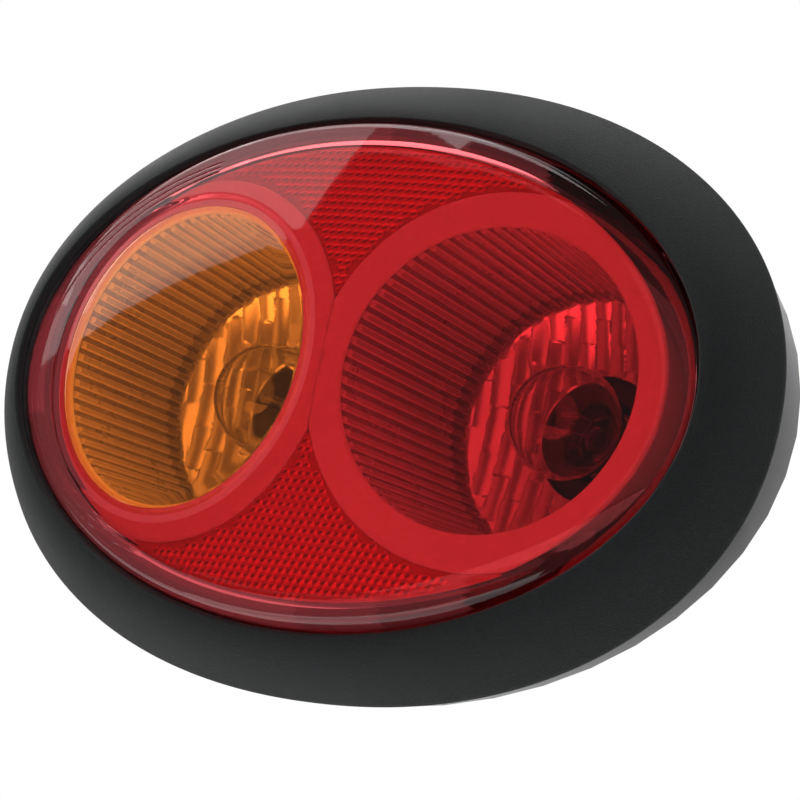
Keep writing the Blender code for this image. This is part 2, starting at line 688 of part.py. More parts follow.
def make_bulb(name, axis, double):
    """Bayonet bulb: glass, stem, filaments, cap, insulator and contacts."""
    def glass_line(radius, neck, count):
        line = []
        for i in range(count + 1):
            turn = math.radians(NECK_SPREAD) * i / count
            line.append((radius * math.sin(turn), FILAMENT_Z + radius * math.cos(turn)))
        line.append((neck, line[-1][1] - NECK_DROP))
        line.append((neck, PIN_Z + CAP_RISE / 2.0))
        return line

    outer = glass_line(GLOBE_R, NECK_R, 7)
    inner = glass_line(GLOBE_R - GLASS_T, NECK_R - GLASS_T, 6)
    add(name + "_bulb_glass", turned(outer + inner[::-1], SMALL_STEPS), CLEAR, axis)

    stem_top = FILAMENT_Z - POST_H - GAP
    stem_r = NECK_R - GLASS_T - GAP
    stem = [(0.0, stem_top), (STEM_R, stem_top), (STEM_R, stem_top - STEM_H / 2.0)]
    stem += [(stem_r, stem_top - STEM_H), (0.0, stem_top - STEM_H)]
    add(name + "_bulb_stem", turned(stem, SMALL_STEPS), CLEAR, axis)

    rows = (-SECOND_FILAMENT / 2.0, SECOND_FILAMENT / 2.0) if double else (0.0,)
    labels = ("stop_filament", "tail_filament") if double else (name + "_filament",)
    for row, y in enumerate(rows):
        half = POST_SPACING / 2.0
        level = FILAMENT_Z - row * COIL_R * 2.0
        foot = FILAMENT_Z - POST_H
        path = [(-half, y, foot), (-half, y, level)]
        points = 6 * COIL_TURNS
        for i in range(points + 1):
            turn = 2.0 * math.pi * i / 6.0
            x = -half + 1.0 + (2.0 * half - 2.0) * i / points
            path.append((x, y + COIL_R * math.sin(turn), level + COIL_R * math.cos(turn)))
        path += [(half, y, level), (half, y, foot)]
        add(labels[row], wire(path, WIRE_R), TUNGSTEN, axis)

    cap_in = CAP_R - CAP_T
    tube = [(cap_in, CAP_TOP), (CAP_R, CAP_TOP), (CAP_R, CAP_FOOT), (cap_in, CAP_FOOT)]
    cap = add(name + "_bulb_cap", turned(tube, SMALL_STEPS, True), BRASS, axis)
    for side, level in zip((1.0, -1.0), pin_levels(double)):
        pin = prism([circle(PIN_R, 10)], 0.0, PIN_REACH - CAP_R + CAP_T / 2.0)
        start = CAP_R - CAP_T / 2.0
        move(pin, lambda x, y, z, s=side, h=level: (s * (start + z), s * y, h + x))
        combine(cap, cutter(name + "_pin_" + ("a" if side > 0.0 else "b"), pin, axis), "UNION")

    disc_r = cap_in - GAP
    disc_top = INSULATOR_FOOT + INSULATOR_T
    disc = [(0.0, disc_top), (disc_r, disc_top), (disc_r, INSULATOR_FOOT), (0.0, INSULATOR_FOOT)]
    add(name + "_bulb_insulator", turned(disc, SMALL_STEPS), BLACK_GLOSS, axis)
    for letter, (x, y) in contact_spots(double):
        dot = prism([circle(CONTACT_R, 12, x, y)], CONTACT_FOOT, CONTACT_TOP)
        add(name + "_bulb_contact" + letter, dot, SOLDER, axis)


def pin_levels(double):
    """Heights of the two bayonet pins."""
    return (PIN_Z, PIN_Z + PIN_OFFSET) if double else (PIN_Z, PIN_Z)


def contact_spots(double):
    """Name endings and places of the bulb's foot contacts."""
    half = CONTACT_SPACING / 2.0
    if double:
        return (("_a", (0.0, -half)), ("_b", (0.0, half)))
    return (("", (0.0, 0.0)),)


def make_holder(name, axis, double):
    """Quarter-turn holder with its seal, sleeve, sprung contact plate and terminals."""
    section = [
        (0.0, HOLDER_FLOOR),
        (HOLDER_BORE, HOLDER_FLOOR),
        (HOLDER_BORE, HOLDER_TOP),
        (NOSE_R, HOLDER_TOP),
        (NOSE_R, HOLDER_FLANGE_TOP),
        (HOLDER_FLANGE_R, HOLDER_FLANGE_TOP),
        (HOLDER_FLANGE_R, HOLDER_FLANGE_FOOT),
        (HOLDER_BODY_R, HOLDER_FLANGE_FOOT),
        (HOLDER_BODY_R, HOLDER_FOOT),
        (0.0, HOLDER_FOOT),
    ]
    holder = add(name + "_holder", turned(section, ROUND_STEPS), BLACK_MATT, axis)
    lugs = []
    half = math.radians(LUG_ANGLE / 2.0)
    for k in range(LUG_COUNT):
        middle = 2.0 * math.pi * k / LUG_COUNT
        turns = [middle + half * s for s in (-1.0, -0.5, 0.0, 0.5, 1.0)]
        loop = [(LUG_R * math.cos(t), LUG_R * math.sin(t)) for t in turns]
        inner = (NOSE_R + HOLDER_BORE) / 2.0
        loop += [(inner * math.cos(t), inner * math.sin(t)) for t in (middle + half, middle - half)]
        lugs.append(prism([loop], HOLDER_TOP - LUG_T, HOLDER_TOP - GAP / 2.0))
    combine(holder, cutter(name + "_lugs", joined(lugs), axis), "UNION")
    grips = []
    length = HOLDER_FLANGE_FOOT - HOLDER_FOOT - 2.0 * GRIP_H
    for k in range(GRIP_COUNT):
        inner = (HOLDER_BODY_R + HOLDER_BORE) / 2.0
        depth = HOLDER_BODY_R + GRIP_H - inner
        level = HOLDER_FOOT + GRIP_H + length / 2.0
        grip = box((inner + depth / 2.0, 0.0, level), (depth, GRIP_W, length))
        turn = 2.0 * math.pi * (k + 0.5) / GRIP_COUNT
        cos, sin = math.cos(turn), math.sin(turn)
        move(grip, lambda x, y, z, c=cos, s=sin: (c * x - s * y, s * x + c * y, z))
        grips.append(grip)
    combine(holder, cutter(name + "_grips", joined(grips), axis), "UNION")
    spots = [("_a", BLADE_X, 0.0, False), ("_b", -BLADE_X, 0.0, False)]
    if double:
        spots.append(("_c", 0.0, BLADE_X + BLADE_T, True))
    slots = []
    for letter, x, y, across in spots:
        thick, wide = (BLADE_W, BLADE_T) if across else (BLADE_T, BLADE_W)
        length = HOLDER_WALL + BLADE_OUT
        middle = HOLDER_FLOOR - length / 2.0
        add(name + "_terminal" + letter, box((x, y, middle), (thick, wide, length)), BRASS, axis)
        size = (thick + 2.0 * GAP, wide + 2.0 * GAP, 3.0 * HOLDER_WALL)
        slots.append(box((x, y, HOLDER_FLOOR - HOLDER_WALL / 2.0), size))
    combine(holder, cutter(name + "_slots", joined(slots), axis), "DIFFERENCE")

    seal_in = TURRET_HOLE_R - GAP
    seal_out = min(seal_in + SEAL_W, HOLDER_FLANGE_R)
    ring = [(seal_in, HOLDER_SEAL_TOP), (seal_out, HOLDER_SEAL_TOP)]
    ring += [(seal_out, HOLDER_SEAL_FOOT), (seal_in, HOLDER_SEAL_FOOT)]
    add(name + "_holder_seal", turned(ring, ROUND_STEPS, True), RUBBER, axis)

    collar_r = HOLDER_BORE - GAP
    collar_top = SLEEVE_FOOT + SLEEVE_COLLAR_H
    tube = [
        (SLEEVE_BORE, SLEEVE_TOP),
        (SLEEVE_R, SLEEVE_TOP),
        (SLEEVE_R, collar_top),
        (collar_r, collar_top),
        (collar_r, SLEEVE_FOOT),
        (SLEEVE_BORE, SLEEVE_FOOT),
    ]
    sleeve = add(name + "_socket", turned(tube, SMALL_STEPS + 4, True), STEEL, axis)
    swing = SLEEVE_BORE * math.sin(math.radians(BULB_TURN))
    clear = PIN_R + 2.0 * GAP
    for side, level in zip((1.0, -1.0), pin_levels(double)):
        high = SLEEVE_TOP + SLEEVE_T - level
        low = -PUSH - clear
        loop = [(-clear, low), (swing + clear, low), (swing + clear, high)]
        loop += [(swing - clear, high), (swing - clear, clear), (-clear, clear)]
        slot = prism([loop], SLEEVE_BORE - CAP_R / 2.0, SLEEVE_R + CAP_R / 2.0)
        move(slot, lambda x, y, z, s=side, h=level: (s * z, s * x, h + y))
        combine(sleeve, cutter(name + "_slot_" + ("a" if side > 0.0 else "b"), slot, axis), "DIFFERENCE")

    plate = [(0.0, PLATE_TOP), (PLATE_R, PLATE_TOP), (PLATE_R, PLATE_FOOT), (0.0, PLATE_FOOT)]
    add(name + "_contact_plate", turned(plate, SMALL_STEPS), BLACK_MATT, axis)
    for letter, (x, y) in contact_spots(double):
        rivet = prism([circle(CONTACT_R, 12, x, y)], PLATE_TOP + GAP, RIVET_TOP)
        add(name + "_plate_contact" + letter, rivet, BRASS, axis)

    top = PLATE_FOOT - GAP - SPRING_WIRE_R
    foot = HOLDER_FLOOR + GAP + SPRING_WIRE_R
    points = SPRING_STEPS * SPRING_TURNS
    path = []
    for i in range(points + 1):
        turn = 2.0 * math.pi * i / SPRING_STEPS
        level = top + (foot - top) * i / points
        path.append((SPRING_R * math.cos(turn), SPRING_R * math.sin(turn), level))
    add(name + "_spring", wire(path, SPRING_WIRE_R), STEEL, axis)


def make_fasteners():
    """Studs in the back plate with their washers and nuts."""
    head_foot = BACK_FRONT + GAP
    washer_top = -MOUNT_DEPTH - PANEL_T
    washer_foot = washer_top - WASHER_T
    nut_top = washer_foot - GAP
    for place, y in (("upper", STUD_Y), ("lower", -STUD_Y)):
        line = [(0.0, head_foot + STUD_HEAD_T), (STUD_HEAD_R, head_foot + STUD_HEAD_T)]
        line += [(STUD_HEAD_R, head_foot), (STUD_R, head_foot)]
        line += [(STUD_R, -MOUNT_DEPTH - STUD_OUT), (0.0, -MOUNT_DEPTH - STUD_OUT)]
        stud = turned(line, SMALL_STEPS)
        move(stud, lambda x, v, z, up=y: (x, v + up, z))
        add("mounting_stud_" + place, stud, STEEL, LAMP)
        bore = circle(STUD_R + GAP, SMALL_STEPS, 0.0, y)
        washer = prism([circle(WASHER_R, SMALL_STEPS, 0.0, y), bore], washer_foot, washer_top)
        add("stud_washer_" + place, washer, STEEL, LAMP)
        nut = prism([circle(NUT_R, 6, 0.0, y), bore], nut_top - NUT_T, nut_top)
        add("stud_nut_" + place, nut, STEEL, LAMP)


make_lens()
make_bezel()
make_housing()
make_fasteners()
for NAME, AXIS, SIDE in (("indicator", INDICATOR, -1.0), ("stop_tail", STOP_TAIL, 1.0)):
    make_insert(NAME, AXIS, SIDE)
    make_reflector(NAME, AXIS)
    make_bulb(NAME, AXIS, SIDE > 0.0)
    make_holder(NAME, AXIS, SIDE > 0.0)
make_reflex("upper_reflex", 1.0)
make_reflex("lower_reflex", -1.0)
bpy.context.view_layer.update()
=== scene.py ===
"""Looks of the oval trailer tail light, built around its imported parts.

Shapes are worked out in lamp coordinates: millimetres, X along the lamp, Y up and Z towards the
front, measured from the plane of the lens rim. to_part() turns them into the part's own frame.
"""
from __future__ import annotations

import json
import logging
import math
from dataclasses import dataclass
from enum import Enum
from typing import Sequence

import bmesh
import bpy
from mathutils import Matrix, Vector

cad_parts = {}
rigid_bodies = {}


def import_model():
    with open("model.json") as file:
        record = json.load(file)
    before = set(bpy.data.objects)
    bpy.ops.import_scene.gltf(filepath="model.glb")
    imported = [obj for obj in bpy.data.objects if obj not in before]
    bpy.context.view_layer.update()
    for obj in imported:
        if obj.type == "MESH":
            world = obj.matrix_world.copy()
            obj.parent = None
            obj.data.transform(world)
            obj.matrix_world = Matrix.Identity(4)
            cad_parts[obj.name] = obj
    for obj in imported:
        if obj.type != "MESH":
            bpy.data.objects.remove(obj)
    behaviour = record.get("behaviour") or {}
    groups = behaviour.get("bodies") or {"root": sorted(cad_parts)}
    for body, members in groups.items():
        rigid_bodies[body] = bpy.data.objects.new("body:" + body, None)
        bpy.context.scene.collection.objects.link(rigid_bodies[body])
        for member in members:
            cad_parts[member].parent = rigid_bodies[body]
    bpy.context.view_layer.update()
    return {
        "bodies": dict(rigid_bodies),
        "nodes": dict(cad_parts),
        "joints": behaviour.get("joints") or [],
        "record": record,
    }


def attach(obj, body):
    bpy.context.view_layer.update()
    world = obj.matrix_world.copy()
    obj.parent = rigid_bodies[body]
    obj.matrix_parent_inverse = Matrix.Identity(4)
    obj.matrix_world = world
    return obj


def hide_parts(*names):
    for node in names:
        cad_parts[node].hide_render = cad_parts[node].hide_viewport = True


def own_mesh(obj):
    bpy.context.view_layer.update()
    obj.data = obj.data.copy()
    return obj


LOG = logging.getLogger("tail_light")

Point = tuple[float, float, float]
Colour = tuple[float, float, float]

MM = 0.001
MOUNT_DEPTH = 30.0
GAP = 0.3
SEAM = 0.06
ACRYLIC_IOR = 1.49
GLASS_IOR = 1.47
POLISHED = (0.015, 0.05)
LAMP_MIDDLE = (0.0, -0.03, 0.0)
VALUE = "NodeSocketFloat"
COLOUR = "NodeSocketColor"


class Sided(Enum):
    """One of two like pieces about the lamp's middle, by the start of its name and its side."""

    @property
    def label(self) -> str:
        """Start of the names of its pieces."""
        return self.value[0]

    @property
    def side(self) -> float:
        """One to the right of the middle or above it, minus one to the left or below."""
        return self.value[1]


class Chamber(Sided):
    """The two lamps behind the lens."""

    INDICATOR = ("indicator", -1.0)
    STOP_TAIL = ("stop_tail", 1.0)


class Edge(Sided):
    """The two long edges of the lens."""

    UPPER = ("upper", 1.0)
    LOWER = ("lower", -1.0)


def to_part(point: Point) -> Point:
    """Turn a point in lamp coordinates into the part's frame, in metres."""
    x, y, z = point
    return x * MM, -(z + MOUNT_DEPTH) * MM, y * MM


def to_lamp(point: Vector) -> Point:
    """Turn a point of the part's frame into lamp coordinates, in millimetres."""
    x, y, z = (c / MM for c in point)
    return x, z, -y - MOUNT_DEPTH


def smooth_step(value: float, low: float, high: float) -> float:
    """Ease from 0 at low to 1 at high."""
    share = min(max((value - low) / (high - low), 0.0), 1.0)
    return share * share * (3.0 - 2.0 * share)


def spread(low: float, high: float, count: int) -> list[float]:
    """Evenly spaced values from low to high, both included."""
    return [low + (high - low) * i / (count - 1) for i in range(count)]


def turns(count: int) -> list[float]:
    """Angles round a full turn, in radians."""
    return [2.0 * math.pi * i / count for i in range(count)]


def circle(x: float, radius: float, z: float, angles: Sequence[float]) -> list[Point]:
    """A level ring of points about a line along Z.

    Args:
        x: Place of the line.
        radius: Radius of the ring; zero makes a single point.
        z: Height of the ring.
        angles: Direction of each point.

    Returns:
        The points.
    """
    if radius <= 0.0:
        return [(x, 0.0, z)]
    return [(x + radius * math.cos(t), radius * math.sin(t), z) for t in angles]


def put_in_scene(name: str, data: bpy.types.ID) -> bpy.types.Object:
    """Make an object and link it to the scene.

    Args:
        name: Name of the object.
        data: Its mesh, curve, light or camera.

    Returns:
        The new object.
    """
    made = bpy.data.objects.new(name, data)
    bpy.context.scene.collection.objects.link(made)
    return made


@dataclass
class Loft:
    """A piece joined from rings of points; a ring of one point is a tip."""

    rings: Sequence[Sequence[Point]]
    closed: bool = True

    def build(self, name: str, sharp: float = 40.0) -> bpy.types.Object:
        """Make the piece.

        Args:
            name: Name of the piece.
            sharp: Angle in degrees above which an edge stays crisp.

        Returns:
            The new object, in the part's frame.
        """
        mesh = bpy.data.meshes.new(name)
        mesh.from_pydata([to_part(point) for ring in self.rings for point in ring], [], self._faces())
        shape = bmesh.new()
        shape.from_mesh(mesh)
        bmesh.ops.recalc_face_normals(shape, faces=shape.faces)
        shape.to_mesh(mesh)
        shape.free()
        mesh.shade_smooth()
        mesh.set_sharp_from_angle(angle=math.radians(sharp))
        return put_in_scene(name, mesh)

    def _faces(self) -> list[tuple[int, ...]]:
        """Join each ring to the next; an open loft gets flat ends.

        Returns:
            The point numbers of each face.
        """
        starts = [0]
        for ring in self.rings:
            starts.append(starts[-1] + len(ring))
        spans = [range(low, high) for low, high in zip(starts, starts[1:])]
        faces: list[tuple[int, ...]] = []
        for first, second in zip(spans, spans[1:]):
            faces += self._band(first, second)
        if self.closed:
            return faces + self._band(spans[-1], spans[0])
        return faces + [tuple(span) for span in (spans[0], spans[-1]) if len(span) > 1]

    @staticmethod
    def _band(first: range, second: range) -> list[tuple[int, ...]]:
        """Join two rings, either of which may be a tip.

        Args:
            first: Point numbers of one ring.
            second: Point numbers of the other.

        Returns:
            The point numbers of each face.
        """
        if len(first) == 1 or len(second) == 1:
            tip, ring = (first, second) if len(first) == 1 else (second, first)
            return [(tip[0], point, ring[(j + 1) % len(ring)]) for j, point in enumerate(ring)]
        faces = []
        for j in range(len(first)):
            n = (j + 1) % len(first)
            faces.append((first[j], first[n], second[n], second[j]))
        return faces


def install(
    piece: bpy.types.Object, material: bpy.types.Material, body: str, slot: str, *nodes: str
) -> None:
    """Give a new piece its finish and its place in the assembly.

    Args:
        piece: The new object.
        material: Its finish.
        body: Body that it moves with.
        slot: Material slot of the record; not used.
        nodes: Nodes that it stands for.
    """
    piece.data.materials.append(material)
    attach(piece, body)
    if nodes:
        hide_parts(*nodes)
    LOG.info("made %s on %s", piece.name, body)


class Desk:
    """Places and wires the nodes of one shader tree."""

    def __init__(self, tree: bpy.types.NodeTree) -> None:
        """Take the tree to work on."""
        self.tree = tree

    def put(self, kind: str, **values: object) -> bpy.types.Node:
        """Place a node.

        Args:
            kind: Node type.
            values: Input sockets by name with spaces as underscores, or settings of the node.

        Returns:
            The new node.
        """
        node = self.tree.nodes.new(kind)
        for key, value in values.items():
            if hasattr(node, key):
                setattr(node, key, value)
            else:
                node.inputs[key.replace("_", " ")].default_value = value
        return node

    def wire(self, source: bpy.types.NodeSocket, target: bpy.types.NodeSocket) -> None:
        """Join an output to an input."""
        self.tree.links.new(source, target)

    def larger(self, first: bpy.types.NodeSocket, second: bpy.types.NodeSocket) -> bpy.types.NodeSocket:
        """Take the larger of two values.

        Args:
            first: One value.
            second: The other value.

        Returns:
            The output that holds the larger.
        """
        node = self.put("ShaderNodeMath", operation="MAXIMUM")
        self.wire(first, node.inputs[0])
        self.wire(second, node.inputs[1])
        return node.outputs[0]


class EffectDesk(Desk):
    """A desk on a new node group, with its ends and the place of the shaded point."""

    def __init__(self, name: str, inputs: dict[str, float], coloured: bool) -> None:
        """Start the group.

        Args:
            name: Name of the group.
            inputs: Value inputs of its own, with their defaults.
            coloured: Whether it mixes two colours as well as two roughnesses.
        """
        super().__init__(bpy.data.node_groups.new(name, "ShaderNodeTree"))
        for label, default in inputs.items():
            self._socket(label, "INPUT", VALUE).default_value = default
        if coloured:
            self._socket("Low Color", "INPUT", COLOUR)
            self._socket("High Color", "INPUT", COLOUR)
            self._socket("Color", "OUTPUT", COLOUR)
        for label in ("Low Roughness", "High Roughness"):
            self._socket(label, "INPUT", VALUE)
        for label in ("Roughness", "Height"):
            self._socket(label, "OUTPUT", VALUE)
        self.given = self.put("NodeGroupInput")
        self.result = self.put("NodeGroupOutput")
        self.place = self.put("ShaderNodeTexCoord").outputs["Object"]

    def _socket(self, label: str, way: str, kind: str) -> bpy.types.NodeTreeInterfaceSocket:
        """Add a socket to the group."""
        return self.tree.interface.new_socket(name=label, in_out=way, socket_type=kind)

    def noise(
        self, place: bpy.types.NodeSocket, size: str, detail: float, roughness: float = 0.5
    ) -> bpy.types.NodeSocket:
        """Add a noise.

        Args:
            place: Where it is looked up.
            size: Input of the group that gives its scale.
            detail: Its detail.
            roughness: Its roughness.

        Returns:
            Its value.
        """
        node = self.put("ShaderNodeTexNoise", Detail=detail, Roughness=roughness)
        self.wire(place, node.inputs["Vector"])
        self.wire(self.given.outputs[size], node.inputs["Scale"])
        return node.outputs["Fac"]

    def shade(self, mask: bpy.types.NodeSocket) -> None:
        """Put out a colour between the two that are given.

        Args:
            mask: Share of the high colour.
        """
        tone = self.put("ShaderNodeMix", data_type="RGBA")
        self.wire(mask, tone.inputs[0])
        self.wire(self.given.outputs["Low Color"], tone.inputs[6])
        self.wire(self.given.outputs["High Color"], tone.inputs[7])
        self.wire(tone.outputs[2], self.result.inputs["Color"])

    def polish(self, mask: bpy.types.NodeSocket, low: float = 0.0, high: float = 1.0) -> None:
        """Put out a roughness between the two that are given.

        Args:
            mask: What the roughness follows.
            low: Mask at the low roughness.
            high: Mask at the high roughness.
        """
        rough = self.put("ShaderNodeMapRange", From_Min=low, From_Max=high)
        self.wire(mask, rough.inputs["Value"])
        self.wire(self.given.outputs["Low Roughness"], rough.inputs["To Min"])
        self.wire(self.given.outputs["High Roughness"], rough.inputs["To Max"])
        self.wire(rough.outputs["Result"], self.result.inputs["Roughness"])


class Effects:
    """Shader node groups that several finishes share."""

    speck_range = (0.36, 0.64)
    speck_share = 0.7
    drift_share = 0.3
    streak_range = (0.35, 0.75)

    def __init__(self) -> None:
        """Build each group once."""
        self.grain = self._grain()
        self.wipe = self._wipe()
        self.drawn = self._drawn()

    def _grain(self) -> bpy.types.NodeTree:
        """Moulded grain: a fine pebbled height, with colour and roughness that drift in patches.

        Returns:
            The group.
        """
        desk = EffectDesk("moulded_grain", {"Grain": 2000.0, "Patch": 40.0}, True)
        fine = desk.noise(desk.place, "Grain", 3.0, 0.6)
        patch = desk.noise(desk.place, "Patch", 4.0, 0.55)
        speck = desk.put("ShaderNodeMapRange", From_Min=self.speck_range[0], From_Max=self.speck_range[1])
        drift = desk.put("ShaderNodeMath", operation="MULTIPLY")
        drift.inputs[1].default_value = self.drift_share
        blend = desk.put("ShaderNodeMath", operation="MULTIPLY_ADD")
        blend.inputs[1].default_value = self.speck_share
        desk.wire(fine, speck.inputs["Value"])
        desk.wire(patch, drift.inputs[0])
        desk.wire(speck.outputs["Result"], blend.inputs[0])
        desk.wire(drift.outputs[0], blend.inputs[2])
        desk.shade(blend.outputs[0])
        desk.polish(patch)
        desk.wire(fine, desk.result.inputs["Height"])
        return desk.tree

    def _wipe(self) -> bpy.types.NodeTree:
        """Wipe marks: roughness in faint streaks, as on a polished face that has been handled.

        Returns:
            The group.
        """
        desk = EffectDesk("wipe_marks", {"Size": 60.0}, False)
        lie = desk.put("ShaderNodeMapping", Rotation=(0.2, 0.5, 0.0), Scale=(1.0, 1.0, 3.0))
        desk.wire(desk.place, lie.inputs["Vector"])
        streak = desk.noise(lie.outputs["Vector"], "Size", 5.0, 0.6)
        desk.polish(streak, *self.streak_range)
        desk.wire(streak, desk.result.inputs["Height"])
        return desk.tree

    @staticmethod
    def _drawn() -> bpy.types.NodeTree:
        """Drawn metal: fine lines across the part's depth, with a tone that drifts in patches.

        Returns:
            The group.
        """
        desk = EffectDesk("drawn_metal", {"Lines": 2500.0, "Patch": 120.0}, True)
        pull = desk.put("ShaderNodeMapping", Scale=(0.06, 1.0, 0.06))
        desk.wire(desk.place, pull.inputs["Vector"])
        lines = desk.noise(pull.outputs["Vector"], "Lines", 2.0)
        desk.shade(desk.noise(desk.place, "Patch", 4.0))
        desk.polish(lines)
        desk.wire(lines, desk.result.inputs["Height"])
        return desk.tree


class MaterialDesk(Desk):
    """A desk on a new material, with its Principled shader."""

    def __init__(self, name: str) -> None:
        """Start the material.

        Args:
            name: Name of the material.
        """
        self.material = bpy.data.materials.new(name)
        self.material.use_nodes = True
        super().__init__(self.material.node_tree)
        self.shader = self.tree.nodes["Principled BSDF"]

    def set(self, **values: object) -> None:
        """Set inputs of the shader by name, with spaces as underscores."""
        for key, value in values.items():
            self.shader.inputs[key.replace("_", " ")].default_value = value

    def effect(
        self, group: bpy.types.NodeTree, rough: tuple[float, float], relief: float, depth: float,
        **values: object,
    ) -> None:
        """Place a shared effect and let it drive the shader.

        Args:
            group: The effect.
            rough: Lowest and highest roughness.
            relief: Strength of its bump.
            depth: Depth of its bump in metres.
            values: Its other inputs by name, with spaces as underscores.
        """
        node = self.put(
            "ShaderNodeGroup", node_tree=group, Low_Roughness=rough[0], High_Roughness=rough[1], **values
        )
        bump = self.put("ShaderNodeBump", Strength=relief, Distance=depth)
        if "Color" in node.outputs:
            self.wire(node.outputs["Color"], self.shader.inputs["Base Color"])
        self.wire(node.outputs["Roughness"], self.shader.inputs["Roughness"])
        self.wire(node.outputs["Height"], bump.inputs["Height"])
        self.wire(bump.outputs["Normal"], self.shader.inputs["Normal"])

    def mix(self, share: bpy.types.NodeSocket, other: bpy.types.NodeSocket) -> None:
        """Mix another shader into the material.

        Args:
            share: Share of the other shader.
            other: The other shader.
        """
        choice = self.put("ShaderNodeMixShader")
        self.wire(share, choice.inputs[0])
        self.wire(self.shader.outputs["BSDF"], choice.inputs[1])
        self.wire(other, choice.inputs[2])
        self.wire(choice.outputs["Shader"], self.tree.nodes["Material Output"].inputs["Surface"])


def grey(level: float) -> Colour:
    """A neutral colour."""
    return level, level, level


@dataclass(frozen=True)
class Moulding:
    """An opaque moulded plastic or rubber."""

    name: str
    low: Colour
    high: Colour
    rough: tuple[float, float]
    grain: float = 900.0
    relief: float = 0.05
    depth: float = 0.0002
    sheen: float = 0.0
    sheen_rough: float = 0.4
    metallic: float = 0.0
    shine: float = 0.5

    def build(self, effects: Effects) -> bpy.types.Material:
        """Make the material.

        Args:
            effects: Shared effects.

        Returns:
            The material.
        """
        desk = MaterialDesk(self.name)
        desk.set(Metallic=self.metallic, Specular_IOR_Level=self.shine)
        desk.set(Sheen_Weight=self.sheen, Sheen_Roughness=self.sheen_rough)
        desk.effect(
            effects.grain, self.rough, self.relief, self.depth,
            Grain=self.grain, Low_Color=(*self.low, 1.0), High_Color=(*self.high, 1.0),
        )
        return desk.material


@dataclass(frozen=True)
class ClearPart:
    """A see-through plastic or glass, which lets light into what is behind it."""

    name: str
    tint: Colour
    ior: float = ACRYLIC_IOR
    rough: tuple[float, float] = POLISHED
    wipe: float = 60.0
    clear: float = 1.0
    relief: float = 0.02
    depth: float = 0.0005

    def build(self, effects: Effects) -> bpy.types.Material:
        """Make the material.

        Args:
            effects: Shared effects.

        Returns:
            The material.
        """
        desk = MaterialDesk(self.name)
        desk.set(Base_Color=(*self.tint, 1.0), Transmission_Weight=self.clear, IOR=self.ior)
        desk.effect(effects.wipe, self.rough, self.relief, self.depth, Size=self.wipe)
        path = desk.put("ShaderNodeLightPath")
        passing = desk.put("ShaderNodeBsdfTransparent", Color=(*(math.sqrt(c) for c in self.tint), 1.0))
        desk.mix(path.outputs["Is Shadow Ray"], passing.outputs["BSDF"])
        return desk.material


@dataclass(frozen=True)
class Metal:
    """A plated, drawn or vacuum-coated metal."""

    name: str
    low: Colour
    high: Colour
    rough: tuple[float, float]
    lines: float = 2500.0
    relief: float = 0.05
    depth: float = 0.0001
    metallic: float = 1.0

    def build(self, effects: Effects) -> bpy.types.Material:
        """Make the material.

        Args:
            effects: Shared effects.

        Returns:
            The material.
        """
        desk = MaterialDesk(self.name)
        desk.set(Metallic=self.metallic)
        desk.effect(
            effects.drawn, self.rough, self.relief, self.depth,
            Lines=self.lines, Low_Color=(*self.low, 1.0), High_Color=(*self.high, 1.0),
        )
        return desk.material


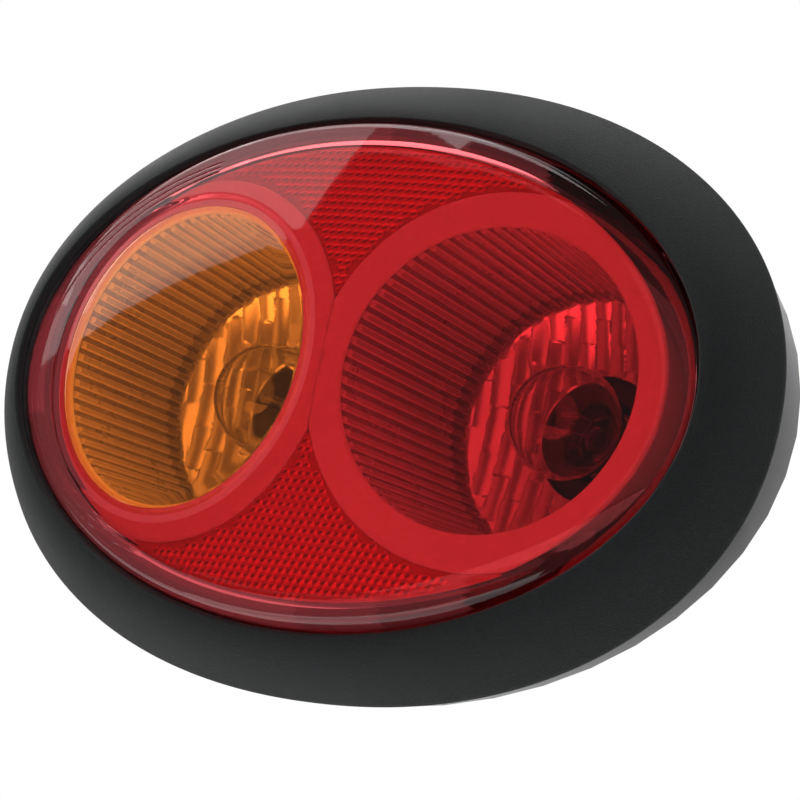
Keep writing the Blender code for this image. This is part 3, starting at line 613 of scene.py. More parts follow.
class Finishes:
    """Every finish of the lamp, built once and found by name."""

    mouldings = (
        Moulding(
            "soft_black", (0.0006, 0.0010, 0.0011), (0.0070, 0.0088, 0.0092), (0.56, 0.74),
            grain=3000.0, relief=0.7, depth=0.0005, sheen=0.05, shine=0.30,
        ),
        Moulding(
            "gloss_black", (0.006, 0.006, 0.007), (0.014, 0.014, 0.015), (0.10, 0.22),
            grain=260.0, relief=0.04, depth=0.0004,
        ),
        Moulding(
            "holder_black", grey(0.034), (0.066, 0.066, 0.067), (0.42, 0.60), grain=1800.0, relief=0.25,
        ),
        Moulding("rubber", grey(0.010), (0.026, 0.026, 0.025), (0.75, 0.92), grain=1400.0, relief=0.5),
        # The tunnel's pale moulding and its darker copies, painted on by Insert as light and shade:
        # grey_insert is the painted highlight on the flutes' sides, then painted half shade on the ribs,
        # painted shade in the flutes' floors and painted deep shade near the foot.
        Moulding("grey_insert", grey(0.90), grey(0.97), (0.24, 0.36), metallic=0.3),
        Moulding("rib_painted_half_shade", grey(0.58), grey(0.68), (0.22, 0.34), metallic=0.4),
        Moulding("flute_painted_shade", grey(0.34), grey(0.43), (0.22, 0.34), metallic=0.4),
        Moulding("foot_painted_deep_shade", grey(0.18), grey(0.26), (0.22, 0.34), metallic=0.4),
        Moulding("pale_flange", grey(0.72), grey(0.80), (0.35, 0.5)),
        Moulding("tub_grey", grey(0.34), grey(0.44), (0.35, 0.5)),
        Moulding(
            "red_reflex", (0.66, 0.12, 0.14), (0.78, 0.15, 0.17), (0.20, 0.32),
            grain=500.0, relief=0.03, metallic=0.3,
        ),
        Moulding("reflex_plate", (0.44, 0.08, 0.09), (0.54, 0.10, 0.11), (0.3, 0.5), grain=700.0),
        # Painted shade: a darker red for the dark dash on each cube corner.
        Moulding("reflex_painted_shade", (0.15, 0.04, 0.05), (0.24, 0.06, 0.07), (0.3, 0.5), grain=700.0),
    )
    clear_parts = (
        ClearPart("red_lens", (0.73, 0.120, 0.135)),
        # Cloudier copies of the red lens, put on by Lens as painted light: they catch the lamps as a red glow
        # on the recess's slope and the lit left of the rim, and step towards clear on the shaded right.
        ClearPart("red_bend", (0.75, 0.11, 0.13), clear=0.84),
        ClearPart("red_bend_thin", (0.75, 0.11, 0.13), clear=0.89),
        ClearPart("red_bend_faint", (0.75, 0.11, 0.13), clear=0.93),
        ClearPart("red_rim", (0.72, 0.09, 0.11), clear=0.74),
        ClearPart("amber_lens", (0.97, 0.475, 0.15)),
        ClearPart("clear_glass", (0.96, 0.97, 0.97), GLASS_IOR, (0.0, 0.015), wipe=150.0),
    )
    metals = (
        Metal(
            "silver_reflector", grey(0.84), grey(0.94), (0.16, 0.26), lines=700.0, relief=0.01, metallic=0.8
        ),
        Metal("filament_wire", (0.30, 0.29, 0.28), (0.45, 0.44, 0.43), (0.3, 0.5)),
        Metal("plated_brass", (0.62, 0.58, 0.48), (0.80, 0.75, 0.63), (0.22, 0.38)),
        Metal("solder", (0.55, 0.55, 0.56), (0.74, 0.74, 0.75), (0.35, 0.55)),
        Metal("zinc_steel", (0.52, 0.53, 0.55), (0.70, 0.71, 0.73), (0.26, 0.44)),
    )

    def __init__(self) -> None:
        """Build the shared effects and the materials."""
        effects = Effects()
        self.by_name: dict[str, bpy.types.Material] = {}
        for finish in (*self.mouldings, *self.clear_parts, *self.metals):
            self.by_name[finish.name] = finish.build(effects)

    def __getitem__(self, name: str) -> bpy.types.Material:
        """The material of that name."""
        return self.by_name[name]

    def add(self, piece: bpy.types.Object, *names: str) -> None:
        """Give a piece more finishes, after its first."""
        for name in names:
            piece.data.materials.append(self.by_name[name])


@dataclass(frozen=True)
class LensForm:
    """The lens dome that the pieces under it follow, in millimetres."""

    half_length: float = 86.8
    half_height: float = 56.9
    wall: float = 2.6
    crown: float = 11.6
    end_drop: float = 13.4
    side_drop: float = 6.9
    shoulder: float = 5.7
    rim_sink: float = 2.0
    skirt: float = 5.0
    clear: float = 0.5
    chamber_x: float = 39.1
    tunnel_r: float = 33.4
    flange_r: float = 41.5
    amber_r: float = 34.8

    @property
    def bend(self) -> float:
        """How far out the shoulder starts, as a share of the way to the rim."""
        return 1.0 - self.shoulder / self.half_height

    def middle(self, chamber: Chamber) -> float:
        """Place of a chamber's middle along the lamp."""
        return chamber.side * self.chamber_x

    def dome(self, x: float, y: float) -> float:
        """Height of the plain dome."""
        along, across = x / self.half_length, y / self.half_height
        return self.crown - self.end_drop * along * along - self.side_drop * across * across

    def share(self, x: float, y: float, inset: float = 0.0) -> float:
        """How far out a point is, from 0 at the middle to 1 on the rim."""
        return math.hypot(x / (self.half_length - inset), y / (self.half_height - inset))

    def height(self, x: float, y: float, inset: float = 0.0) -> float:
        """Height of the lens with its rounded shoulder.

        Args:
            x: Place along the lamp.
            y: Place up the lamp.
            inset: Depth below the outer face.

        Returns:
            Height above the rim plane.
        """
        share = self.share(x, y, inset)
        if share <= self.bend:
            return self.dome(x, y) - inset
        turn = min((share - self.bend) / (1.0 - self.bend), 1.0)
        fall = 1.0 - math.sqrt(max(0.0, 1.0 - turn * turn))
        rim = self.dome(x / share, y / share)
        return self.dome(x, y) - inset - fall * (rim + self.rim_sink)

    def below(self, x: float, y: float, drop: float) -> float:
        """Height of a piece that hangs under the lens by a drop."""
        return self.height(x, y, self.wall) - self.clear - drop

    def reach(self, angle: float, long_half: float, short_half: float) -> float:
        """Distance from the amber disc's middle to an oval about the lamp's middle.

        Args:
            angle: Direction from the disc's middle, in radians.
            long_half: Half of the oval's length.
            short_half: Half of the oval's height.

        Returns:
            The distance.
        """
        across = math.cos(angle)
        up = math.sin(angle)
        a = (across / long_half) ** 2 + (up / short_half) ** 2
        b = -2.0 * self.chamber_x * across / long_half**2
        c = (self.chamber_x / long_half) ** 2 - 1.0
        return (-b + math.sqrt(b * b - 4.0 * a * c)) / (2.0 * a)


@dataclass
class Lens:
    """Two-colour lens: the red dome with its skirt, and the amber disc in a shallow recess."""

    form: LensForm
    skin: LensForm = LensForm(shoulder=2.4)
    recess_depth: float = 0.7
    recess_low: float = 0.15
    recess_r: float = 36.4
    recess_slope: float = 1.7
    recess_lean: tuple[float, float] = (0.8, 0.6)
    recess_clear: float = 0.4
    grooves: tuple[tuple[float, float], ...] = ((82.9, 49.2), (85.3, 50.2), (87.7, 51.2))
    groove_width: float = 0.27
    groove_depth: float = 0.13
    groove_start_x: float = -39.5
    groove_end_y: float = 9.0
    groove_fade: tuple[float, float] = (1.5, 3.0)
    margin: float = 15.0
    margin_share: float = 0.96
    slope_bands: int = 16
    dome_bands: int = 14
    rim_bands: int = 76
    under_bands: int = 12
    steps: int = 480
    skin_depth: float = 1.2
    bend_from: float = 0.90
    rim_from: float = 0.93
    fade_at: tuple[float, ...] = (4.0, 24.0, 44.0)
    pad_half: float = 14.0
    amber_edge: float = 0.5
    amber_round: float = 0.05
    amber_steps: int = 256
    sharp: float = 50.0

    def recess(self, x: float, y: float) -> float:
        """Depth of the recess round the amber disc.

        Args:
            x: Place along the lamp.
            y: Place up the lamp.

        Returns:
            The depth, deepest at the disc's upper left.
        """
        left = -x - self.form.chamber_x
        away = math.hypot(left, y)
        lean = (self.recess_lean[1] * y + self.recess_lean[0] * left) / self.recess_r
        depth = self.recess_low + (self.recess_depth - self.recess_low) * smooth_step(lean, -1.0, 1.0)
        return depth * (1.0 - smooth_step(away, self.recess_r, self.recess_r + self.recess_slope))

    def groove(self, x: float, y: float) -> float:
        """Depth of the trim grooves along the outer quarter of the rim.

        Args:
            x: Place along the lamp.
            y: Place up the lamp.

        Returns:
            The depth.
        """
        window = smooth_step(-x, -self.groove_start_x, -self.groove_start_x + self.groove_fade[0])
        window *= smooth_step(abs(y), self.groove_end_y, self.groove_end_y + self.groove_fade[1])
        if window <= 0.0:
            return 0.0
        depth = 0.0
        for long_half, short_half in self.grooves:
            share = math.hypot(x / long_half, y / short_half)
            away = abs(share - 1.0) * math.hypot(x, y)
            depth = max(depth, self.groove_depth * (1.0 - smooth_step(away, 0.0, self.groove_width)))
        return depth * window

    def front(self, x: float, y: float) -> float:
        """Height of the outer face."""
        return self.skin.height(x, y) - self.recess(x, y) - self.groove(x, y)

    def spokes(self, angle: float) -> list[float]:
        """Distances from the amber disc's middle, along one direction, to the outer face's rings.

        Args:
            angle: Direction in radians.

        Returns:
            Growing distances, from the disc's edge to the rim.
        """
        form = self.form
        rim = form.reach(angle, form.half_length, form.half_height)
        recess_end = self.recess_r + self.recess_slope + self.recess_clear
        margin = min(self.margin, self.margin_share * (rim - recess_end))
        found = spread(form.amber_r + SEAM, recess_end, self.slope_bands)
        found += spread(recess_end, rim - margin, self.dome_bands)[1:]
        for share in spread(0.0, 1.0, self.rim_bands)[1:]:
            found.append(rim - margin * (1.0 - math.sin(0.5 * math.pi * share)))
        return found

    def build(self, finishes: Finishes) -> None:
        """Make both colours of the lens."""
        self._red(finishes)
        self._amber(finishes)

    def _red(self, finishes: Finishes) -> None:
        """Make the red dome with its skirt and its hole for the amber disc.

        Args:
            finishes: Every finish.
        """
        form = self.form
        angles = turns(self.steps)
        columns = [self.spokes(angle) for angle in angles]
        rings = [[self._over(a, r) for a, r in zip(angles, radii)] for radii in zip(*columns)]
        foot = -(form.rim_sink + form.skirt)
        inner_a = form.half_length - form.wall
        inner_b = form.half_height - form.wall
        for long_half, short_half in ((form.half_length, form.half_height), (inner_a, inner_b)):
            ring = []
            for angle in angles:
                x, y = self._spot(angle, form.reach(angle, long_half, short_half))
                ring.append((x, y, foot))
            rings.append(ring)
        for i in range(self.under_bands, 0, -1):
            share = form.bend + (1.0 - form.bend) * math.sin(0.5 * math.pi * i / self.under_bands)
            rings.append([self._under(a, form.reach(a, share * inner_a, share * inner_b)) for a in angles])
        bends = [form.reach(angle, form.bend * inner_a, form.bend * inner_b) for angle in angles]
        edge = form.amber_r + SEAM
        for share in spread(1.0, 0.0, self.slope_bands):
            rings.append([self._under(a, edge + (r - edge) * share) for a, r in zip(angles, bends)])
        piece = Loft(rings).build("lens_red_dome", self.sharp)
        install(piece, finishes["red_lens"], "lamp", "red_lens", "red_lens")
        self._dress(piece, finishes)

    def _dress(self, piece: bpy.types.Object, finishes: Finishes) -> None:
        """Paint light into the lens with cloudier copies of its red: on the recess's slope they stand in for
        the red-lit inside seen through it, and round the rim for a glow on the lit left, fading towards clear
        on the shaded right.

        Args:
            piece: The red dome.
            finishes: Every finish.
        """
        finishes.add(piece, "red_bend", "red_bend_thin", "red_bend_faint", "red_rim")
        for face in piece.data.polygons:
            x, y, z = to_lamp(face.center)
            if z <= self.form.height(x, y) - self.skin_depth:
                continue
            share = self.form.share(x, y)
            away = math.hypot(x + self.form.chamber_x, y)
            # Painted light: the recess's slope glows red in place of the lit inside seen through it.
            if 0.0 < away - self.recess_r < self.recess_slope:
                face.material_index = 1
            # Painted light: the rim grows clearer in steps towards the shaded right, with the cloudiest copy
            # on the left pad.
            if share > self.bend_from and x < self.fade_at[-1]:
                face.material_index = 1 + sum(x > edge for edge in self.fade_at)
                if share > self.rim_from and abs(y) < self.pad_half:
                    face.material_index = 4

    def _spot(self, angle: float, away: float) -> tuple[float, float]:
        """A place by its direction and distance from the amber disc's middle."""
        return -self.form.chamber_x + away * math.cos(angle), away * math.sin(angle)

    def _over(self, angle: float, away: float) -> Point:
        """A point of the outer face, by direction and distance from the amber disc's middle."""
        x, y = self._spot(angle, away)
        return x, y, self.front(x, y)

    def _under(self, angle: float, away: float) -> Point:
        """A point of the inner face, by direction and distance from the amber disc's middle."""
        x, y = self._spot(angle, away)
        return x, y, self.form.height(x, y, self.form.wall)

    def _amber(self, finishes: Finishes) -> None:
        """Make the amber disc.

        Args:
            finishes: Every finish.
        """
        edge = self.form.amber_r
        flat = edge - self.amber_edge
        radii = spread(0.0, flat, self.slope_bands)[1:] + [edge - self.amber_edge / 2.0, edge]
        angles = turns(self.amber_steps)
        front: list[list[Point]] = [[self._over(0.0, 0.0)]]
        back: list[list[Point]] = [[self._under(0.0, 0.0)]]
        for radius in radii:
            round_off = self.amber_round * smooth_step(radius, flat, edge)
            ring = [self._over(angle, radius) for angle in angles]
            front.append([(x, y, z - round_off) for x, y, z in ring])
            back.append([self._under(angle, radius) for angle in angles])
        piece = Loft(front + back[::-1], False).build("lens_amber_disc", self.sharp)
        install(piece, finishes["amber_lens"], "lamp", "amber_lens", "amber_lens")


@dataclass
class Bezel:
    """Soft domed ring round the lens."""

    form: LensForm
    width: float = 13.3
    square: float = 2.12
    lip: float = 1.4
    base: float = 14.2
    skirt_width: float = 2.2
    lip_round: float = 0.9
    lip_sink: float = 0.02
    edge: float = 1.0
    swell: float = 1.8
    groove_top: float = -0.8
    flange_top: float = -11.7
    collar: float = 2.5
    foot_round: float = 0.7
    steps: int = 288
    bands: int = 30
    lip_bands: int = 7
    foot_bands: int = 5
    sharp: float = 45.0

    def ring(self, share: float, height: float) -> list[Point]:
        """A ring of the outer face.

        Args:
            share: 0 at the lip, 1 at the outer edge.
            height: Height of the ring.

        Returns:
            The ring's points.
        """
        lip = 2.0 * GAP
        offset = lip + (self.width - lip) * share
        power = 2.0 / (2.0 + (self.square - 2.0) * share)
        ring = []
        for t in turns(self.steps):
            x = (self.form.half_length + offset) * math.copysign(abs(math.cos(t)) ** power, math.cos(t))
            y = (self.form.half_height + offset) * math.copysign(abs(math.sin(t)) ** power, math.sin(t))
            ring.append((x, y, height))
        return ring

    def plain(self, offset: float, height: float) -> list[Point]:
        """A ring of the under side.

        Args:
            offset: Distance from the lens oval.
            height: Height of the ring.

        Returns:
            The ring's points.
        """
        long_half = self.form.half_length + offset
        short_half = self.form.half_height + offset
        return [(long_half * math.cos(t), short_half * math.sin(t), height) for t in turns(self.steps)]

    def face(self, share: float) -> float:
        """Height of the domed face."""
        return self.lip - (self.lip + self.base - self.edge) * share**self.swell

    def build(self, finishes: Finishes) -> None:
        """Make the bezel.

        Args:
            finishes: Every finish.
        """
        start = self.lip_round / self.width
        rings = [self.ring(0.0, self.groove_top + GAP), self.ring(0.0, self.lip - self.lip_round)]
        for i in range(1, self.lip_bands):
            turn = 0.5 * math.pi * i / self.lip_bands
            rise = self.lip - self.lip_round * (1.0 - math.sin(turn)) - self.lip_sink * (1.0 - math.cos(turn))
            rings.append(self.ring(start * (1.0 - math.cos(turn)), rise))
        for share in spread(start, 1.0, self.bands):
            rings.append(self.ring(share, self.face(share)))
        for i in range(1, self.foot_bands + 1):
            turn = 0.5 * math.pi * i / self.foot_bands
            back = self.foot_round * (1.0 - math.cos(turn)) / self.width
            drop = -self.base + self.foot_round * (1.0 - math.sin(turn))
            rings.append(self.ring(1.0 - back, min(drop, self.face(1.0))))
        inside = self.width - self.skirt_width + GAP
        rings.append(self.plain(inside, -self.base))
        rings.append(self.plain(inside, self.flange_top + GAP))
        rings.append(self.plain(self.collar + GAP, self.flange_top + GAP))
        rings.append(self.plain(self.collar + GAP, self.groove_top + GAP))
        piece = Loft(rings).build("bezel_soft_ring", self.sharp)
        install(piece, finishes["soft_black"], "lamp", "soft_black", "outer_bezel")


@dataclass
class Insert:
    """Fluted tunnel with its half of the figure-8 flange under the lens."""

    form: LensForm
    chamber: Chamber
    rim_r: float = 30.3
    foot: float = -40.2
    flange_t: float = 1.5
    flange_edge: float = 0.3
    wall: float = 1.1
    flutes: int = 72
    flute_depth: float = 0.8
    flank: tuple[float, float] = (0.13, 0.35)
    rib_start: float = 1.5
    rib_round: float = 0.9
    tip_bands: tuple[float, ...] = (0.6, 0.3, 0.1)
    flange_bands: tuple[float, float, int] = (0.15, 0.95, 7)
    rib_marks: tuple[float, ...] = (0.0, 0.4, 0.75)
    flank_bands: int = 5
    tunnel_bands: int = 10
    mouth_clear: float = 0.05
    rib_below: float = 0.1
    floor_above: float = 0.9
    outside_above: float = 1.1
    painted_shade_band: float = 5.6
    lip: float = 0.35
    lip_step: float = 0.1
    trim: tuple[float, float] = (78.3, 52.0)
    sharp: float = 35.0

    def edge(self, angle: float) -> float:
        """Radius of the flange, which ends where the lens turns down to its rim."""
        mirrored = angle if self.chamber is Chamber.INDICATOR else math.pi - angle
        return min(self.form.flange_r, self.form.reach(mirrored, *self.trim))

    def cut(self, mark: float, width: float) -> float:
        """How deep a flute is at a mark between two ribs' middles, for a share of the ribs' width."""
        low, high = self.flank
        return smooth_step(min(mark, 1.0 - mark), low * width, low * width + high - low)

    def pattern(self) -> tuple[list[float], list[float]]:
        """Lay the flutes out round the tunnel.

        Returns:
            Each direction, and its mark between two ribs' middles, from 0 to 1.
        """
        low, high = self.flank
        half = [share * low for share in self.rib_marks] + spread(low, high, self.flank_bands)
        steps = half + [0.5] + [1.0 - mark for mark in half[:0:-1]]
        places = [(i + mark, mark) for i in range(self.flutes) for mark in steps]
        return [2.0 * math.pi * place / self.flutes for place, _ in places], [mark for _, mark in places]

    def build(self, finishes: Finishes) -> None:
        """Make the insert, with a pale flange and a satin tunnel that carries painted highlight and shade on
        its flutes.

        Args:
            finishes: Every finish.
        """
        angles, marks = self.pattern()
        mouth = self.form.tunnel_r
        outer_foot = self.rim_r + self.flute_depth + self.wall
        rings = [self._flange(angles, 0.0, mouth + self.lip, 0.0)]
        for share in spread(*self.flange_bands):
            rings.append(self._flange(angles, share, mouth + self.lip, 0.0))
        rings.append(self._flange(angles, 1.0, mouth, self.flange_edge))
        rings.append(self._flange(angles, 1.0, mouth, self.flange_t))
        rings.append(self._flange(angles, 0.0, mouth + self.flute_depth + self.wall, self.flange_t))
        rings.append(circle(self.form.middle(self.chamber), outer_foot, self.foot, angles))
        ribs = [self.cut(mark, 1.0) for mark in marks]
        plain = [0.0] * len(marks)
        sunk = [1.0] * len(marks)
        for share in spread(1.0, 0.0, self.tunnel_bands):
            rings.append(self._tunnel(angles, ribs, self.rib_start + self.rib_round, share))
        for share in self.tip_bands:
            width = math.sqrt(1.0 - (1.0 - share) ** 2)
            tips = [self.cut(mark, width) for mark in marks]
            rings.append(self._tunnel(angles, tips, self.rib_start + self.rib_round * share))
        rings.append(self._tunnel(angles, sunk, self.rib_start))
        rings.append(self._tunnel(angles, sunk, self.lip + self.lip_step))
        rings.append(self._tunnel(angles, plain, self.lip))
        rings.append(self._tunnel(angles, plain, 0.0))
        piece = Loft(rings).build(self.chamber.label + "_fluted_tunnel", self.sharp)
        self._split(piece)
        install(piece, finishes["pale_flange"], "lamp", "grey_insert", self.chamber.label + "_insert")
        self._dress(piece, finishes)

    def _flange(self, angles: Sequence[float], share: float, radius: float, drop: float) -> list[Point]:
        """A ring of the flange, which hangs from the lens.

        Args:
            angles: Direction of each point.
            share: Share of the way from the radius out to the flange's edge.
            radius: Radius that the share starts from.
            drop: Depth below the flange's top.

        Returns:
            The ring's points.
        """
        middle = self.form.middle(self.chamber)
        points = []
        for t in angles:
            away = radius + (self.edge(t) - radius) * share
            x = middle + away * math.cos(t)
            y = away * math.sin(t)
            points.append((x, y, self.form.below(x, y, drop)))
        return points

    def _tunnel(
        self, angles: Sequence[float], cuts: Sequence[float], drop: float, share: float = 0.0
    ) -> list[Point]:
        """A ring of the tunnel.

        Args:
            angles: Direction of each point.
            cuts: How deep the flutes are there.
            drop: Depth below the mouth that the share starts from.
            share: Share of the way from there down to the foot.

        Returns:
            The ring's points.
        """
        middle = self.form.middle(self.chamber)
        mouth = self.form.tunnel_r
        points = []
        for t, cut in zip(angles, cuts):
            top = self.form.below(middle + mouth * math.cos(t), mouth * math.sin(t), self.lip)
            z = (top - drop) * (1.0 - share) + self.foot * share
            away = self._plain(top, z) + self.flute_depth * cut
            points.append((middle + away * math.cos(t), away * math.sin(t), z))
        return points

    def _plain(self, top: float, z: float) -> float:
        """Radius of the tunnel between its flutes, at a height, under a mouth at another."""
        mouth = self.form.tunnel_r
        return mouth + (self.rim_r - mouth) * (top - z) / (top - self.foot)

    def _split(self, piece: bpy.types.Object) -> None:
        """Cut the flange flat where the two inserts meet at the middle.

        Args:
            piece: The insert.
        """
        shape = bmesh.new()
        shape.from_mesh(piece.data)
        cut = bmesh.ops.bisect_plane(
            shape,
            geom=[*shape.verts, *shape.edges, *shape.faces],
            plane_co=Vector((self.chamber.side * GAP / 2.0 * MM, 0.0, 0.0)),
            plane_no=Vector((-self.chamber.side, 0.0, 0.0)),
            clear_outer=True,
        )
        edges = [e for e in cut["geom_cut"] if isinstance(e, bmesh.types.BMEdge)]
        bmesh.ops.holes_fill(shape, edges=edges, sides=0)
        bmesh.ops.recalc_face_normals(shape, faces=shape.faces)
        shape.to_mesh(piece.data)
        shape.free()

    def _dress(self, piece: bpy.types.Object, finishes: Finishes) -> None:
        """Paint light and shade on the flutes: their sides and the ribs' ends take a painted highlight, the
        ribs a painted half shade and the flutes' floors a painted shade; in a band above the foot each takes
        a darker copy, as painted shadow.

        Args:
            piece: The insert.
            finishes: Every finish.
        """
        finishes.add(piece, "grey_insert", "rib_painted_half_shade", "flute_painted_shade", "foot_painted_deep_shade")
        # Material indices: painted highlight, painted half shade, painted shade and painted deep shade.
        flank, rib, floor, shade = 1, 2, 3, 4
        for face in piece.data.polygons:
            x, y, z = to_lamp(face.center)
            top = self.form.below(x, y, self.lip)
            away = math.hypot(x - self.form.middle(self.chamber), y)
            cut = (away - self._plain(top, z)) / self.flute_depth
            if z > top - self.mouth_clear or cut > self.outside_above:
                continue
            # Painted shadow: near the foot every face takes a darker copy of its finish.
            low = z < self.foot + self.painted_shade_band
            if top - z < self.rib_start + self.rib_round:
                face.material_index = flank if cut < self.floor_above else floor
            elif cut < self.rib_below:
                face.material_index = floor if low else rib
            elif cut > self.floor_above:
                face.material_index = shade if low else floor
            else:
                face.material_index = rib if low else flank
        piece.data.update()


@dataclass
class Reflector:
    """Shallow silver bowl with columns of swelling facets."""

    form: LensForm
    chamber: Chamber
    rim_r: float = 30.3
    rim_depth: float = 40.5
    ledge_r: float = 33.0
    hole_r: float = 14.6
    dish: float = 5.5
    wall: float = 1.4
    column: float = 3.8
    row: float = 10.5
    swell: float = 0.34
    crown: float = 0.6
    tilt: float = 1.8
    lean: float = 0.7
    tilt_mix: tuple[int, int, int] = (7, 13, 5)
    lean_mix: tuple[int, int, int] = (5, 11, 3)
    fade: tuple[float, float] = (0.5, 0.4)
    steps: int = 480
    bands: int = 64
    sharp: float = 28.0

    @staticmethod
    def pick(column: int, row: int, mix: tuple[int, int, int]) -> float:
        """A value from -1 to 1 for one facet, by factors for its column and row and a count of values."""
        by_column, by_row, count = mix
        return (column * by_column + row * by_row) % count / ((count - 1) / 2.0) - 1.0

    def facet(self, x: float, y: float) -> float:
        """Swell of the facets, each of which leans its own way.

        Args:
            x: Place across the bowl, from its middle.
            y: Place up the bowl, from its middle.

        Returns:
            Height above the plain bowl.
        """
        column = math.floor(x / self.column)
        across = x / self.column - column - 0.5
        up = y / self.row + 0.5 * (column % 2)
        row = math.floor(up)
        up -= row + 0.5
        tilt = self.pick(column, row, self.tilt_mix)
        lean = self.pick(column, row, self.lean_mix)
        dome = self.crown * (1.0 - 4.0 * across * across)
        return self.swell * (dome + self.tilt * tilt * up + self.lean * lean * across)

    def build(self, finishes: Finishes) -> None:
        """Make the bowl.

        Args:
            finishes: Every finish.
        """
        middle = self.form.middle(self.chamber)
        rim_z = -self.rim_depth
        hole_z = rim_z - self.dish
        angles = turns(self.steps)
        rings: list[list[Point]] = []
        for radius in spread(self.hole_r, self.rim_r, self.bands):
            rise = (radius**2 - self.hole_r**2) / (self.rim_r**2 - self.hole_r**2)
            fade = smooth_step(radius, self.hole_r, self.hole_r + self.fade[0])
            fade *= 1.0 - smooth_step(radius, self.rim_r - self.fade[1], self.rim_r)
            ring = []
            for x, y, z in circle(0.0, radius, hole_z + self.dish * rise, angles):
                ring.append((middle + x, y, z + fade * self.facet(x, y)))
            rings.append(ring)
        back = (
            (self.ledge_r, rim_z),
            (self.ledge_r, rim_z - self.wall),
            (self.rim_r - self.wall, rim_z - self.wall),
            (self.hole_r, hole_z - self.wall),
        )
        rings += [circle(middle, radius, z, angles) for radius, z in back]
        piece = Loft(rings).build(self.chamber.label + "_faceted_bowl", self.sharp)
        node = self.chamber.label + "_reflector"
        install(piece, finishes["silver_reflector"], "lamp", "silver_reflector", node)


@dataclass
class Reflex:
    """Reflex reflector: a field of cube corners close under the lens."""

    form: LensForm
    edge: Edge
    pitch: float = 2.0
    depth: float = 0.55
    ridge: float = 0.45
    tip: float = 0.12
    thick: float = 2.4
    plate_clear: float = 0.02
    half_width: float = 38.0
    rim_inset: float = 5.6
    flange_clear: float = 0.08
    dash: tuple[float, float] = (0.92, 0.34)
    dash_lean: float = 30.0
    plate_half: float = 49.0
    columns: int = 96
    rows: int = 10

    def inside(self, x: float, y: float) -> bool:
        """Whether a cell lies in the field.

        Args:
            x: Its middle along the lamp.
            y: Its middle up the lamp.

        Returns:
            True if it is clear of the rim, the flanges and the field's ends.
        """
        form = self.form
        reach = self.pitch / 2.0
        clear = form.flange_r + self.flange_clear + reach
        if abs(x) > self.half_width - reach or form.share(x, y, self.rim_inset + reach) > 1.0:
            return False
        return all(math.hypot(x - form.middle(chamber), y) > clear for chamber in Chamber)

    def middles(self) -> list[tuple[float, float]]:
        """Lay the cells out.

        Returns:
            The middle of each cell.
        """
        rise = self.pitch * math.sqrt(0.75)
        rows = int(self.form.half_height / rise) + 2
        columns = int(self.half_width / self.pitch) + 2
        found = []
        for row in range(rows):
            y = self.edge.side * row * rise
            for column in range(-columns, columns + 1):
                x = (column + 0.5 * (row % 2)) * self.pitch
                if self.inside(x, y):
                    found.append((x, y))
        return found

    def build(self, finishes: Finishes) -> None:
        """Make the field of cells on its plate.

        Args:
            finishes: Every finish.
        """
        shape = bmesh.new()
        self._cells(shape)
        self._dashes(shape)
        self._plate(shape)
        mesh = bpy.data.meshes.new(self.edge.label + "_cube_corners")
        shape.to_mesh(mesh)
        shape.free()
        piece = put_in_scene(mesh.name, mesh)
        install(piece, finishes["red_reflex"], "lamp", "red_lens", self.edge.label + "_reflex")
        finishes.add(piece, "reflex_painted_shade", "reflex_plate")

    def _level(self, x: float, y: float, drop: float) -> Point:
        """A point that hangs from the lens by a drop, in the part's frame."""
        return to_part((x, y, self.form.below(x, y, drop)))

    def _cells(self, shape: bmesh.types.BMesh) -> None:
        """Raise a cube corner on each cell.

        Args:
            shape: Mesh to add to.
        """
        radius = self.pitch / math.sqrt(3.0)
        for x, y in self.middles():
            ring = []
            for k in range(6):
                t = math.radians(30.0 + 60.0 * k)
                drop = self.depth * (1.0 if k % 2 else self.ridge)
                corner = self._level(x + radius * math.cos(t), y + radius * math.sin(t), drop)
                ring.append(shape.verts.new(corner))
            tip = shape.verts.new(self._level(x, y, self.tip))
            for k in (0, 2, 4):
                shape.faces.new((tip, ring[k - 1], ring[k], ring[(k + 1) % 6]))

    def _dashes(self, shape: bmesh.types.BMesh) -> None:
        """Paint shade on each cell's deep corner with a dark facet.

        Args:
            shape: Mesh to add to.
        """
        half, thin = self.dash
        lean = math.radians(self.dash_lean)
        for x, y in self.middles():
            corners = []
            for along, across in ((half, 0.0), (0.0, thin), (-half, 0.0), (0.0, -thin)):
                u = x + along * math.cos(lean) - across * math.sin(lean)
                v = y + along * math.sin(lean) + across * math.cos(lean)
                corners.append(shape.verts.new(self._level(u, v, self.tip)))
            # Painted shade: a flat dark dash where the cell looks dark.
            shape.faces.new(corners).material_index = 1

    def _plate(self, shape: bmesh.types.BMesh) -> None:
        """Lay the plate that carries the cells, from flange to flange and out to the rim.

        Args:
            shape: Mesh to add to.
        """
        form = self.form
        inner = form.flange_r + self.flange_clear
        long_half = form.half_length - self.rim_inset
        short_half = form.half_height - self.rim_inset
        sheets = []
        for drop in (self.depth + self.plate_clear, self.thick):
            sheet = []
            for x in spread(-self.plate_half, self.plate_half, self.columns):
                low = math.sqrt(inner**2 - (form.chamber_x - abs(x)) ** 2)
                high = short_half * math.sqrt(1.0 - (x / long_half) ** 2)
                ys = [self.edge.side * y for y in spread(low, high, self.rows)]
                sheet.append([shape.verts.new(self._level(x, y, drop)) for y in ys])
            sheets.append(sheet)
        front, back = sheets
        for i in range(self.columns - 1):
            for j in range(self.rows - 1):
                for sheet in sheets:
                    corners = (sheet[i][j], sheet[i + 1][j], sheet[i + 1][j + 1], sheet[i][j + 1])
                    shape.faces.new(corners).material_index = 2
            for j in (0, self.rows - 1):
                shape.faces.new((front[i][j], front[i + 1][j], back[i + 1][j], back[i][j]))
        for i in (0, self.columns - 1):
            for j in range(self.rows - 1):
                shape.faces.new((front[i][j], front[i][j + 1], back[i][j + 1], back[i][j]))


